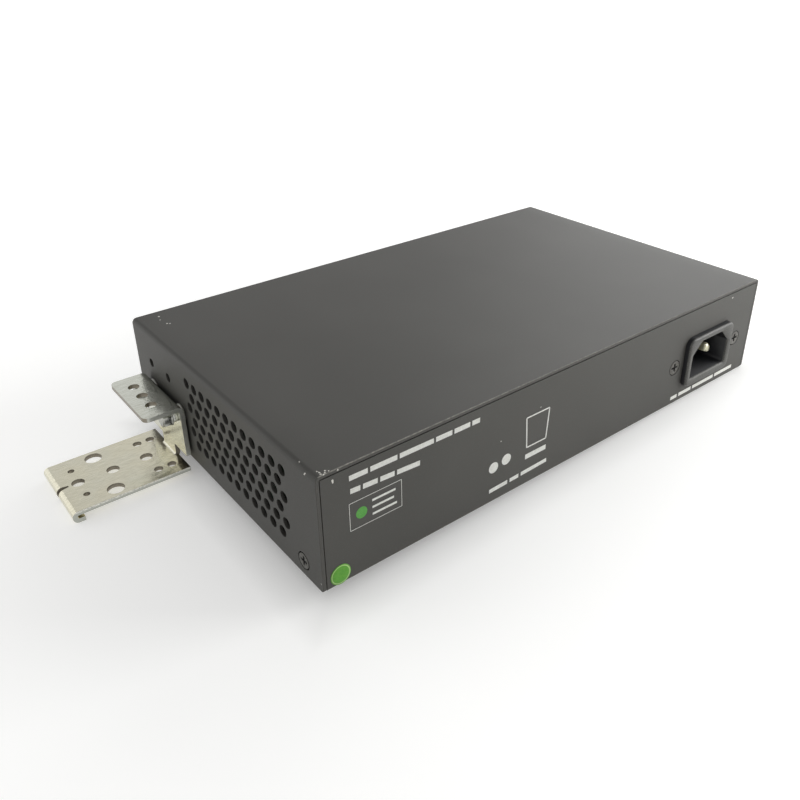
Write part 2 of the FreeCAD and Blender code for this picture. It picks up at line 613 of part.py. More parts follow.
# The tray is one sheet folded into the floor and both end panels, with welded angles
# that take the cover's screws. The angle behind the rail clip is tall enough to carry it.
def make_tray():
    tray = new_body("tray_body")
    bend = OUTER_BEND % "dims.tray_sheet"
    top = "(dims.case_height - dims.cover_sheet - dims.seam_gap)"
    section = outline(tray, "tray_section", "YZ_Plane", [
        ("-" + HALF_DEPTH, "0", bend),
        ("-" + HALF_DEPTH, top),
        ("-" + PANEL, top),
        ("-" + PANEL, "dims.tray_sheet", "dims.bend_inside"),
        (PANEL, "dims.tray_sheet", "dims.bend_inside"),
        (PANEL, top),
        (HALF_DEPTH, top),
        (HALF_DEPTH, "0", bend),
    ])
    pad(tray, section, "2 * " + TRAY, both=True)
    wall_y = "(%s - dims.tab_length / 2 + dims.wall_length / 2)" % ("-" + COVER_SCREW_Y)
    angles = (
        ("rear_near", "", COVER_SCREW_Y, "dims.tab_length", "dims.tab_rise"),
        ("rear_far", "-", COVER_SCREW_Y, "dims.tab_length", "dims.tab_rise"),
        ("front_far", "-", "-" + COVER_SCREW_Y, "dims.tab_length", "dims.tab_rise"),
        ("front_near", "", wall_y, "dims.wall_length", "dims.wall_rise"),
    )
    for name, side, middle, length, rise in angles:
        angle = outline(tray, name, "XZ_Plane", [
            (side + "(%s - dims.tab_foot)" % TRAY_WALL, "dims.tray_sheet"),
            (side + TRAY, "dims.tray_sheet", bend),
            (side + TRAY, "dims.tray_sheet + " + rise),
            (side + TRAY_WALL, "dims.tray_sheet + " + rise),
            (side + TRAY_WALL, "2 * dims.tray_sheet", "dims.bend_inside"),
            (side + "(%s - dims.tab_foot)" % TRAY_WALL, "2 * dims.tray_sheet"),
        ])
        angle.setExpression("AttachmentOffset.Base.z", "-(%s)" % middle)
        pad(tray, angle, length, both=True)
    for name, side, axis in SIDES:
        for end, sign in ENDS:
            start = (side + TRAY, sign + COVER_SCREW_Y, "dims.cover_screw_rise")
            hole = "tab_hole_%s_%s" % (name, end)
            punched(tray, hole, start, axis, "dims.thread_bore / 2", "dims.tray_sheet")
    for number, spot in enumerate(CLIP_SCREWS):
        start = (TRAY, spot, "dims.clip_screw_rise")
        punched(tray, "wall_hole_%d" % number, start, "-X", CLEARANCE, "dims.tray_sheet")
    window = "(dims.inlet_frame_%s / 2 + dims.inlet_slip)"
    low = ("%s - %s" % (INLET_X, window % "width"), "dims.inlet_rise - " + window % "height")
    high = ("%s + %s" % (INLET_X, window % "width"), "dims.inlet_rise + " + window % "height")
    pocket(tray, rectangle(tray, "inlet_window", "XZ_Plane", low, high))
    round_off = "dims.inlet_frame_round + dims.inlet_slip"
    corners = [(across, up) for across in (low[0], high[0]) for up in (low[1], high[1])]
    for number, corner in enumerate(corners):
        rounded(tray, "window_corner_%d" % number, "Y", [corner], round_off)
    seats = []
    for number, across in enumerate(INLET_SCREWS):
        start = (across, HALF_DEPTH, "dims.inlet_rise")
        seats.append(seat("inlet_seat_%d" % number, "dims.inlet_screw_head", "dims.tray_sheet", start, "-Y"))
    slip = "(dims.shield_sheet + dims.socket_slip)"
    low = ("%s - %s" % (SOCKET_LEFT, slip), BOARD_TOP)
    high = ("%s + %s" % (SOCKET_RIGHT, slip), "%s + dims.socket_height + %s" % (BOARD_TOP, slip))
    pocket(tray, rectangle(tray, "socket_window", "XZ_Plane", low, high), back=True)
    for line, count in enumerate(("dims.light_columns + 1", "dims.light_columns")):
        across, up = light_corner(0, line)
        low = (across + " - dims.light_slip", up + " - dims.light_slip")
        high = (across + " + dims.light_width + dims.light_slip",
                up + " + dims.light_height + dims.light_slip")
        first = pocket(tray, rectangle(tray, "light_window_%d" % line, "XZ_Plane", low, high), back=True)
        repeated(tray, "light_windows_%d" % line, first, "X_Axis", "dims.light_pitch", count)
    piece(less("tray_drilled", tray, [together("inlet_seats", seats)]), "chassis_tray")


# The rail clip is one strip of steel: a flange with three holes, a leg screwed to the
# case, a neck that turns outwards under it, and a plate whose end is folded back as a
# hook for the rail's edge. Cuts beside the neck leave the plate's wings flat.
def make_clip():
    clip = new_body("clip_body")
    bend = "(dims.clip_bend + dims.clip_sheet)"
    hook = "(dims.hook_bend + dims.clip_sheet)"
    plate_under = "(%s - dims.clip_sheet)" % PLATE_TOP
    lip_top = "(%s - dims.hook_mouth)" % plate_under
    lip_under = "(%s - dims.clip_sheet)" % lip_top
    lip_end = "(%s - dims.clip_sheet - dims.hook_depth)" % PLATE_END
    section = outline(clip, "clip_section", "XZ_Plane", [
        (LEG + " + dims.clip_flange", "dims.clip_top"),
        (LEG_BACK, "dims.clip_top", bend),
        (LEG_BACK, plate_under, bend),
        ("%s - dims.clip_sheet" % PLATE_END, plate_under, "dims.hook_bend"),
        ("%s - dims.clip_sheet" % PLATE_END, lip_top, "dims.hook_bend"),
        (lip_end, lip_top),
        (lip_end, lip_under),
        (PLATE_END, lip_under, hook),
        (PLATE_END, PLATE_TOP, hook),
        (LEG, PLATE_TOP, "dims.clip_bend"),
        (LEG, "dims.clip_top - dims.clip_sheet", "dims.clip_bend"),
        (LEG + " + dims.clip_flange", "dims.clip_top - dims.clip_sheet"),
    ])
    section.setExpression("AttachmentOffset.Base.z", "-" + CLIP_Y)
    pad(clip, section, "dims.clip_width", both=True)
    neck_cut = [
        (LEG_BACK + " - dims.clip_sheet", "dims.clip_wing"),
        (LEG + " + dims.clip_bend", "dims.clip_wing"),
        (LEG + " + dims.clip_bend", PLATE_TOP),
        (LEG + " - dims.wing_inset", PLATE_TOP),
        (LEG + " - dims.wing_inset", "%s - dims.clip_sheet" % plate_under),
        (LEG_BACK + " - dims.clip_sheet", "%s - dims.clip_sheet" % plate_under),
    ]
    for name, side, back in (("far_cut", "-", True), ("near_cut", "+", False)):
        cut = outline(clip, name, "XZ_Plane", neck_cut)
        cut.setExpression("AttachmentOffset.Base.z", "-(%s %s dims.clip_neck / 2)" % (CLIP_Y, side))
        pocket(clip, cut, back=back)
    slit = outline(clip, "slit", "XY_Plane", [
        (PLATE_END + " - dims.slit_length", CLIP_Y + " - dims.slit_end / 2"),
        (PLATE_END + " + dims.clip_sheet", CLIP_Y + " - dims.slit_mouth / 2"),
        (PLATE_END + " + dims.clip_sheet", CLIP_Y + " + dims.slit_mouth / 2"),
        (PLATE_END + " - dims.slit_length", CLIP_Y + " + dims.slit_end / 2"),
    ])
    pocket(clip, slit, both=True)
    flange_x = LEG + " + dims.flange_bore_out"
    row = [(flange_x, "%s + %d * dims.flange_bore_pitch" % (CLIP_Y, step)) for step in (-1, 0, 1)]
    pocket(clip, circles(clip, "flange_holes", "XY_Plane", "dims.flange_bore", row), back=True)
    pairs = (
        ("large", "dims.plate_large_out", "dims.plate_large_pitch", "dims.plate_large_bore"),
        ("tapped_inner", "dims.plate_tapped_first", "dims.plate_tapped_pitch", "dims.plate_tapped_bore"),
        ("tapped_outer", "dims.plate_tapped_second", "dims.plate_tapped_pitch", "dims.plate_tapped_bore"),
        ("pin", "dims.plate_pin_out", "dims.plate_pin_pitch", "dims.plate_pin_bore"),
    )
    for name, out, pitch, bore in pairs:
        spots = [(LEG + " + " + out, "%s %s %s / 2" % (CLIP_Y, sign, pitch)) for sign in "-+"]
        pocket(clip, circles(clip, name + "_holes", "XY_Plane", bore, spots))
    line = "%s + dims.plate_middle_first + %%d * dims.plate_middle_pitch" % LEG
    middle = [(line % step, CLIP_Y) for step in range(3)]
    pocket(clip, circles(clip, "middle_holes", "XY_Plane", "dims.plate_middle_bore", middle))
    for number, spot in enumerate(CLIP_SCREWS):
        start = (LEG_BACK, spot, "dims.clip_screw_rise")
        punched(clip, "leg_hole_%d" % number, start, "X", CLEARANCE, "dims.clip_sheet")
    corners = [(LEG + " + dims.clip_flange", "%s %s dims.clip_width / 2" % (CLIP_Y, sign)) for sign in "-+"]
    rounded(clip, "flange_corners", "Z", corners, "dims.corner_round")
    piece(clip, "rail_bracket")


def ring(name, size, length, start):
    """A ring about a clip screw, its axis along +X."""
    outer = prism(name + "_outer", size + " / 2", length, start, "X", "2 * dims.plain_sides")
    bore = prism(name + "_bore", CLEARANCE, length, start, "X")
    return less(name, outer, [bore])


# Two hexagon flange screws hold the clip. From outside in: head, collar, leg, shim,
# cover, tray wall and clinch nut.
def make_clip_fixings():
    head_back = "(%s + dims.collar_height)" % LEG
    nut_end = "(%s - dims.nut_height)" % TRAY_WALL
    shank_end = "(%s - dims.screw_over)" % nut_end
    screws, collars, shims, nuts = [], [], [], []
    for number, across in enumerate(CLIP_SCREWS):
        rise = "dims.clip_screw_rise"
        length = "%s - %s" % (head_back, shank_end)
        shank = prism("clip_shank_%d" % number, "dims.thread_bore / 2", length,
                      (shank_end, across, rise), "X")
        flange = prism("clip_flange_%d" % number, "dims.head_flange / 2", "dims.head_flange_sheet",
                       (head_back, across, rise), "X", "2 * dims.plain_sides")
        head = hexagon("clip_head_%d" % number, "dims.hex_flats", "dims.hex_height",
                       (head_back + " + dims.head_flange_sheet", across, rise), "X")
        screws.append(joined("clip_screw_%d" % number, [shank, flange, head]))
        collars.append(ring("collar_%d" % number, "dims.collar_size", "dims.collar_height",
                            (LEG, across, rise)))
        shims.append(ring("shim_%d" % number, "dims.shim_size", "dims.shim_sheet",
                          (HALF_WIDTH, across, rise)))
        nut = prism("nut_%d" % number, "dims.nut_size / 2", "dims.nut_height",
                    (nut_end, across, rise), "X", "2 * dims.plain_sides")
        thread = prism("nut_thread_%d" % number, "dims.thread_bore / 2", "dims.nut_height",
                       (nut_end, across, rise), "X")
        nuts.append(less("clinch_nut_%d" % number, nut, [thread]))
    piece(together("clip_screws", screws), "bracket_screws")
    piece(together("clip_collars", collars), "bracket_collars")
    piece(together("clip_shims", shims), "bracket_shims")
    piece(together("clip_nuts", nuts), "clinch_nuts")


def flat_screw(name, head, length, start, axis):
    """A countersunk screw whose head is flush with the face it starts from."""
    cone_length = "(%s - dims.thread_bore) / 2" % head
    cone = taper(name + "_head", head + " / 2", "dims.thread_bore / 2", cone_length, start, axis)
    shank = prism(name + "_shank", "dims.thread_bore / 2", length, start, axis)
    return joined(name, [cone, shank])


# Four countersunk screws close the cover onto the tray's angles.
def make_cover_screws():
    screws = []
    for side, axis in (("", "-X"), ("-", "X")):
        for number, sign in enumerate(("", "-")):
            start = (side + HALF_WIDTH, sign + COVER_SCREW_Y, "dims.cover_screw_rise")
            name = "cover_screw_%s_%d" % ("near" if side == "" else "far", number)
            screws.append(flat_screw(name, "dims.cover_screw_head", "dims.cover_screw_reach", start, axis))
    piece(together("cover_screw_set", screws), "cover_screws")


# The mains inlet is moulded plastic: a raised frame through the panel's window, a flange
# behind the panel with two screw ears, and a body around the cavity.
def make_inlet():
    front = "(dims.case_depth / 2 + dims.inlet_proud)"
    flange_back = "(%s - dims.inlet_flange_sheet)" % PANEL
    body_back = "(%s - dims.inlet_body_depth)" % flange_back
    floor = "(%s - dims.inlet_mouth_depth)" % front

    def block(name, across, up, back, forward):
        size = ("dims." + across, forward + " - " + back, "dims." + up)
        corner = (INLET_X + " - dims.%s / 2" % across, back, "dims.inlet_rise - dims.%s / 2" % up)
        return box(name, size, corner)

    inlet = new_body("inlet_shell")
    frame_low = (INLET_X + " - dims.inlet_frame_width / 2", "dims.inlet_rise - dims.inlet_frame_height / 2")
    frame_high = (INLET_X + " + dims.inlet_frame_width / 2", "dims.inlet_rise + dims.inlet_frame_height / 2")
    turn = "dims.inlet_frame_round"
    frame = outline(inlet, "inlet_frame", "XZ_Plane", [
        frame_low + (turn,),
        (frame_high[0], frame_low[1], turn),
        frame_high + (turn,),
        (frame_low[0], frame_high[1], turn),
    ])
    frame.setExpression("AttachmentOffset.Base.z", "-" + front)
    pad(inlet, frame, "dims.inlet_proud + dims.tray_sheet")
    shell = joined("inlet_solid", [
        inlet,
        block("inlet_flange", "inlet_flange_width", "inlet_flange_height", flange_back, PANEL),
        block("inlet_back", "inlet_body_width", "inlet_body_height", body_back, flange_back),
    ])
    mouth_body = new_body("inlet_mouth")
    left = INLET_X + " - dims.inlet_mouth_width / 2"
    right = INLET_X + " + dims.inlet_mouth_width / 2"
    low = "dims.inlet_rise - dims.inlet_mouth_height / 2"
    high = "dims.inlet_rise + dims.inlet_mouth_height / 2"
    mouth = outline(mouth_body, "inlet_mouth_section", "XZ_Plane", [
        (left, low),
        (right, low),
        (right, high + " - dims.inlet_mouth_bevel"),
        (right + " - dims.inlet_mouth_bevel", high),
        (left + " + dims.inlet_mouth_bevel", high),
        (left, high + " - dims.inlet_mouth_bevel"),
    ])
    mouth.setExpression("AttachmentOffset.Base.z", "-" + front)
    pad(mouth_body, mouth, "dims.inlet_mouth_depth")
    tools = [mouth_body]
    ear_radius = "max(dims.thread_bore; dims.inlet_screw_head - 2 * dims.tray_sheet) / 2 + dims.screw_slip"
    for number, across in enumerate(INLET_SCREWS):
        start = (across, flange_back, "dims.inlet_rise")
        tools.append(prism("inlet_ear_%d" % number, ear_radius, "dims.inlet_flange_sheet", start, "Y"))
    pins = []
    slots = []
    tip = "(%s - dims.inlet_pin_recess)" % front
    tail = "(%s - dims.inlet_tail)" % body_back
    live = "(dims.inlet_rise - dims.inlet_pin_axis)"
    spots = (
        ("live", "-1", live),
        ("earth", "0", "(%s + dims.inlet_earth_rise)" % live),
        ("return", "1", live),
    )
    for name, step, up in spots:
        left = "%s + %s * dims.inlet_pin_pitch / 2 - dims.inlet_pin_width / 2" % (INLET_X, step)
        bottom = "%s - dims.inlet_pin_height / 2" % up
        width, height = "dims.inlet_pin_width", "dims.inlet_pin_height"
        blade = box(name + "_blade", (width, "%s - %s" % (tip, tail), height), (left, tail, bottom))
        leg = box(name + "_leg", (width, "dims.inlet_tail_sheet", "%s - %s" % (bottom, BOARD_UNDER)),
                  (left, tail, BOARD_UNDER))
        pins.append(joined(name + "_pin", [blade, leg]))
        slots.append(box(name + "_slot", (width, "%s - %s" % (floor, body_back), height),
                         (left, body_back, bottom)))
    piece(less("inlet_moulding", shell, tools + slots), "inlet_housing")
    piece(together("inlet_pin_set", pins), "inlet_pins")
    screws, nuts = [], []
    for number, across in enumerate(INLET_SCREWS):
        start = (across, HALF_DEPTH, "dims.inlet_rise")
        screws.append(flat_screw("inlet_screw_%d" % number, "dims.inlet_screw_head",
                                 "dims.inlet_screw_reach", start, "-Y"))
        nut_start = (across, flange_back, "dims.inlet_rise")
        height = "dims.inlet_nut_height"
        nut = hexagon("inlet_nut_%d" % number, "dims.inlet_nut_flats", height, nut_start, "-Y")
        thread = prism("inlet_nut_thread_%d" % number, "dims.thread_bore / 2", height, nut_start, "-Y")
        nuts.append(less("inlet_nut_body_%d" % number, nut, [thread]))
    piece(together("inlet_screw_set", screws), "inlet_screws")
    piece(together("inlet_nut_set", nuts), "inlet_nuts")


# A round paper sticker, low on the rear panel.
def make_sticker():
    start = (HALF_WIDTH + " - dims.sticker_inset", HALF_DEPTH, "dims.sticker_rise")
    piece(prism("sticker", "dims.sticker_size / 2", "dims.sticker_sheet", start, "Y", "3 * dims.plain_sides"),
          "rear_sticker")


POWER_REAR = "(%s - dims.inlet_flange_sheet - dims.inlet_body_depth - dims.power_board_rear_gap)" % PANEL
POWER_FRONT = "(%s - dims.power_board_depth)" % POWER_REAR


def board(label, left, front, width, depth, front_inset, holes):
    """A circuit board on four posts, each with a screw."""
    blank = box(label + "_blank", (width, depth, "dims.board_sheet"), (left, front, BOARD_UNDER))
    bores, posts, screws = [], [], []
    for number, (side, end) in enumerate([(0, 0), (0, 1), (1, 0), (1, 1)]):
        across = "%s + %d * (%s) + (1 - 2 * %d) * dims.post_inset" % (left, side, width, side)
        along_depth = "%s + %s" % (front, "%s - dims.post_inset" % depth if end else front_inset)
        name = "%s_%d" % (label, number)
        radius = "dims.thread_bore / 2"
        bores.append(prism(name + "_hole", radius, "dims.board_sheet",
                           (across, along_depth, BOARD_UNDER), "Z"))
        post = hexagon(name + "_post", "dims.post_flats", "dims.board_lift",
                       (across, along_depth, "dims.tray_sheet"), "Z")
        grip = (across, along_depth, "%s - dims.board_screw_grip" % BOARD_UNDER)
        thread = prism(name + "_thread", radius, "dims.board_screw_grip", grip, "Z")
        posts.append(less(name + "_spacer", post, [thread]))
        shank = prism(name + "_shank", radius, "dims.board_screw_grip + dims.board_sheet", grip, "Z")
        head = prism(name + "_head", "dims.board_screw_head / 2", "dims.board_screw_rise",
                     (across, along_depth, BOARD_TOP), "Z")
        screws.append(joined(name + "_screw", [shank, head]))
    piece(less(label + "_drilled", blank, bores + holes), label)
    piece(together(label + "_post_set", posts), label + "_posts")
    piece(together(label + "_screw_set", screws), label + "_screws")


# Eight network sockets moulded as one housing, with a latch slot under each cavity, a
# folded shield around it and eight contact wires in each socket.
def make_sockets():
    housing = box("socket_blank", (SOCKET_WIDTH, "dims.socket_depth", "dims.socket_height"),
                  (SOCKET_LEFT, SOCKET_FRONT, BOARD_TOP))
    tools, wires = [], []
    for number in range(int(value(SOCKETS))):
        middle = "%s + dims.socket_rim + (%d + 0.5) * dims.socket_pitch" % (SOCKET_LEFT, number)
        jack = box("jack_%d" % number, ("dims.jack_width", "dims.jack_depth", "dims.jack_height"),
                   (middle + " - dims.jack_width / 2", SOCKET_FRONT, BOARD_TOP + " + dims.jack_rise"))
        latch = box("latch_%d" % number, ("dims.latch_width", "dims.jack_depth", "dims.latch_height"),
                    (middle + " - dims.latch_width / 2", SOCKET_FRONT,
                     BOARD_TOP + " + dims.jack_rise - dims.latch_height"))
        tools += [jack, latch]
        for wire in range(int(value("dims.contact_count"))):
            row_start = middle + " - (dims.contact_count - 1) / 2 * dims.contact_pitch"
            across = "%s + %d * dims.contact_pitch - dims.contact_wire / 2" % (row_start, wire)
            strand = box("wire_%d_%d" % (number, wire),
                         ("dims.contact_wire", "dims.contact_length", "dims.contact_wire"),
                         (across, SOCKET_FRONT + " + dims.jack_depth - dims.contact_length",
                          BOARD_TOP + " + dims.jack_rise + dims.jack_height - dims.contact_wire"))
            wires.append(strand)
    piece(less("socket_moulding", housing, tools), "socket_housing")
    piece(together("socket_wires", wires), "socket_contacts")
    outer = box("shield_outer", (SOCKET_WIDTH + " + 2 * dims.shield_sheet",
                                 "dims.socket_depth + dims.shield_sheet",
                                 "dims.socket_height + dims.shield_sheet"),
                (SOCKET_LEFT + " - dims.shield_sheet", SOCKET_FRONT, BOARD_TOP))
    inner = box("shield_inner", (SOCKET_WIDTH, "dims.socket_depth", "dims.socket_height"),
                (SOCKET_LEFT, SOCKET_FRONT, BOARD_TOP))
    piece(less("shield_folded", outer, [inner]), "socket_shield")


# Nine status lights, two rows of four and one for power, held in a block on the board.
def make_lights():
    lights, bores = [], []
    back = "(dims.light_length - dims.case_depth / 2)"
    for number, (column, line) in enumerate(LIGHT_SPOTS):
        across, up = light_corner(column, line)
        size = ("dims.light_width", "dims.light_length", "dims.light_height")
        lights.append(box("light_%d" % number, size, (across, "-" + HALF_DEPTH, up)))
        bores.append(box("light_bore_%d" % number, size, (across, "-" + HALF_DEPTH, up)))
    width = "(dims.light_columns * dims.light_pitch + dims.light_width + 2 * dims.holder_rim)"
    height = "(dims.light_rise + dims.light_row + dims.light_height + dims.holder_rim)"
    holder = box("holder_blank", (width, "dims.holder_depth", height),
                 (LIGHT_LEFT + " - dims.holder_rim", back + " - dims.holder_depth", BOARD_TOP))
    piece(together("light_set", lights), "status_lights")
    piece(less("holder", holder, bores), "light_holder")


# The main board carries the sockets, their line transformers and the switch chip under
# its finned heat sink.
def make_main_board():
    board("main_board", MAIN_LEFT, MAIN_FRONT, MAIN_WIDTH, "dims.main_board_depth",
          "dims.main_post_front", [])
    row_front = "(%s + dims.socket_depth + dims.shield_sheet + dims.magnet_gap)" % SOCKET_FRONT
    magnets = []
    for number in range(int(value(SOCKETS + " / 2"))):
        middle = "%s + dims.socket_rim + (2 * %d + 1) * dims.socket_pitch" % (SOCKET_LEFT, number)
        magnets.append(box("magnet_%d" % number,
                           ("dims.magnet_width", "dims.magnet_depth", "dims.magnet_height"),
                           (middle + " - dims.magnet_width / 2", row_front, BOARD_TOP)))
    piece(together("magnet_set", magnets), "line_transformers")
    chip_x = "((%s + %s) / 2)" % (SOCKET_LEFT, SOCKET_RIGHT)
    chip_y = "(%s + dims.magnet_depth + dims.chip_gap + dims.sink_width / 2)" % row_front
    chip = box("chip", ("dims.chip_width", "dims.chip_width", "dims.chip_height"),
               (chip_x + " - dims.chip_width / 2", chip_y + " - dims.chip_width / 2", BOARD_TOP))
    piece(chip, "switch_chip")
    sink_left = chip_x + " - dims.sink_width / 2"
    sink_front = chip_y + " - dims.sink_width / 2"
    sink_floor = BOARD_TOP + " + dims.chip_height"
    blank = box("sink_blank", ("dims.sink_width", "dims.sink_width", "dims.sink_height"),
                (sink_left, sink_front, sink_floor))
    spacing = "((dims.sink_width - dims.fin_sheet) / (dims.fin_count - 1))"
    gaps = []
    for number in range(int(value("dims.fin_count")) - 1):
        corner = ("%s + %d * %s + dims.fin_sheet" % (sink_left, number, spacing), sink_front,
                  sink_floor + " + dims.sink_base")
        gaps.append(box("fin_gap_%d" % number, (spacing + " - dims.fin_sheet", "dims.sink_width",
                                                "dims.sink_height - dims.sink_base"), corner))
    piece(less("sink", blank, gaps), "chip_heat_sink")


# The power board turns the mains into the low voltage that the switch runs on. From the
# inlet forwards: fuse and filter, line choke and bulk capacitor, transformer with the
# power transistor on its plate, and the output capacitors.
def make_power_board():
    tail = "(%s - dims.inlet_tail + dims.power_board_rear_gap)" % POWER_REAR
    holes = []
    for step in (-1, 0, 1):
        across = "%s + %d * dims.inlet_pin_pitch / 2 - dims.inlet_pin_width / 2" % (INLET_X, step)
        holes.append(box("pin_hole_%d" % (step + 1), ("dims.inlet_pin_width", "dims.inlet_tail_sheet",
                                                      "dims.board_sheet"), (across, tail, BOARD_UNDER)))
    board("power_board", POWER_LEFT, POWER_FRONT, "dims.power_board_width", "dims.power_board_depth",
          "dims.post_inset", holes)
    right = "(%s + dims.power_board_width)" % POWER_LEFT
    left_rim = "(%s + dims.stage_gap)" % POWER_LEFT
    right_rim = "(%s - dims.stage_gap)" % right

    fuse_y = "(%s - 2 * dims.post_inset - dims.fuse_size / 2)" % POWER_REAR
    fuse_z = BOARD_TOP + " + dims.fuse_rise"
    fuse = prism("fuse_tube", "dims.fuse_size / 2", "dims.fuse_length", (left_rim, fuse_y, fuse_z), "X",
                 "2 * dims.plain_sides")
    clips = []
    for number, across in enumerate((left_rim, left_rim + " + dims.fuse_length - dims.fuse_clip_width")):
        cradle = box("cradle_%d" % number, ("dims.fuse_clip_width", "dims.fuse_size + 2 * dims.fin_sheet",
                                            "dims.fuse_rise"),
                     (across, fuse_y + " - dims.fuse_size / 2 - dims.fin_sheet", BOARD_TOP))
        bed = prism("bed_%d" % number, "dims.fuse_size / 2", "dims.fuse_clip_width",
                    (across, fuse_y, fuse_z), "X", "2 * dims.plain_sides")
        clips.append(less("fuse_clip_%d" % number, cradle, [bed]))
    piece(fuse, "fuse")
    piece(together("fuse_clip_pair", clips), "fuse_clips")
    filter_box = box("filter", ("dims.filter_width", "dims.filter_depth", "dims.filter_height"),
                     (right_rim + " - dims.filter_width", fuse_y + " - dims.filter_depth / 2", BOARD_TOP))
    piece(filter_box, "filter_capacitor")

    bulk_y = "(%s - dims.filter_depth / 2 - dims.stage_gap - dims.bulk_size / 2)" % fuse_y
    bulk_x = left_rim + " + dims.bulk_size / 2"
    piece(prism("bulk", "dims.bulk_size / 2", "dims.bulk_height", (bulk_x, bulk_y, BOARD_TOP), "Z",
                "3 * dims.plain_sides"), "bulk_capacitor")
    choke_corner = (right_rim + " - dims.choke_width", bulk_y + " - dims.choke_depth / 2", BOARD_TOP)
    choke = box("choke_blank", ("dims.choke_width", "dims.choke_depth", "dims.choke_height"), choke_corner)
    window = box("choke_hole", ("dims.choke_window", "dims.choke_depth", "dims.choke_window"),
                 (right_rim + " - (dims.choke_width + dims.choke_window) / 2", choke_corner[1],
                  BOARD_TOP + " + (dims.choke_height - dims.choke_window) / 2"))
    piece(less("choke", choke, [window]), "line_choke")

    core_y = "(%s - dims.bulk_size / 2 - dims.stage_gap - dims.winding_depth / 2)" % bulk_y
    core_x = "(%s + dims.core_width / 2)" % left_rim
    core_front = core_y + " - dims.core_depth / 2"
    core = box("core_blank", ("dims.core_width", "dims.core_depth", "dims.core_height"),
               (core_x + " - dims.core_width / 2", core_front, BOARD_TOP))
    window_width = "(dims.core_width / 2 - dims.core_leg - dims.core_post / 2)"
    window_size = (window_width, "dims.core_depth", "dims.core_height - 2 * dims.core_leg")
    window_z = BOARD_TOP + " + dims.core_leg"
    windows = [
        box("core_window_0", window_size, (core_x + " + dims.core_post / 2", core_front, window_z)),
        box("core_window_1", window_size,
            (core_x + " - dims.core_post / 2 - " + window_width, core_front, window_z)),
    ]
    piece(less("core", core, windows), "transformer_core")
    winding_width = "(dims.core_width - 2 * dims.core_leg - 2 * dims.winding_slip)"
    winding_height = "(dims.core_height - 2 * dims.core_leg - 2 * dims.winding_slip)"
    coil = box("coil_blank", (winding_width, "dims.winding_depth", winding_height),
               (core_x + " - %s / 2" % winding_width, core_y + " - dims.winding_depth / 2",
                window_z + " + dims.winding_slip"))
    post = box("coil_bore", ("dims.core_post + 2 * dims.winding_slip",
                             "dims.core_depth + 2 * dims.winding_slip", winding_height),
               (core_x + " - dims.core_post / 2 - dims.winding_slip",
                core_y + " - dims.core_depth / 2 - dims.winding_slip", window_z + " + dims.winding_slip"))
    piece(less("coil", coil, [post]), "transformer_winding")

    plate_left = right_rim + " - 2 * dims.plate_sink_sheet"
    plate = box("plate", ("dims.plate_sink_sheet", "dims.plate_sink_width", "dims.plate_sink_height"),
                (plate_left, core_y + " - dims.plate_sink_width / 2", BOARD_TOP))
    piece(plate, "power_heat_sink")
    transistor = box("transistor",
                     ("dims.transistor_depth", "dims.transistor_width", "dims.transistor_height"),
                     (plate_left + " - dims.transistor_depth", core_y + " - dims.transistor_width / 2",
                      BOARD_TOP))
    piece(transistor, "power_transistor")
    output_y = "(%s - dims.winding_depth / 2 - dims.stage_gap - dims.output_size / 2)" % core_y
    outputs = []
    for number in (0, 1):
        across = "%s + dims.output_size / 2 + %d * (dims.output_size + dims.stage_gap)" % (left_rim, number)
        outputs.append(prism("output_%d" % number, "dims.output_size / 2", "dims.output_height",
                             (across, output_y, BOARD_TOP), "Z", "2 * dims.plain_sides"))
    piece(together("output_pair", outputs), "output_capacitors")
    posts_middle = "(dims.main_post_front + dims.main_board_depth - dims.post_inset) / 2"
    strip = box("strip", ("dims.board_gap + 2 * dims.link_lap", "dims.link_depth", "dims.link_height"),
                (right + " - dims.link_lap", "%s + %s - dims.link_depth / 2" % (MAIN_FRONT, posts_middle),
                 BOARD_TOP))
    piece(strip, "board_link")


make_cover()
make_tray()
make_clip()
make_clip_fixings()
make_cover_screws()
make_inlet()
make_sticker()
make_sockets()
make_lights()
make_main_board()
make_power_board()
doc.recompute()

for thing in doc.Objects:
    if "Invalid" in thing.State or "Error" in thing.State:
        raise ValueError(thing.Label + " failed to build")
for thing in PIECES:
    if thing.Shape.isNull() or not thing.Shape.isValid():
        raise ValueError(thing.Label + " is not a valid solid")

os.makedirs("parts", exist_ok=True)
for thing in PIECES:
    thing.Shape.exportStep(os.path.join("parts", thing.Label + ".step"))
    print("%-24s %2d solids %10.1f mm3" % (thing.Label, len(thing.Shape.Solids), thing.Shape.Volume))
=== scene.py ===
import math

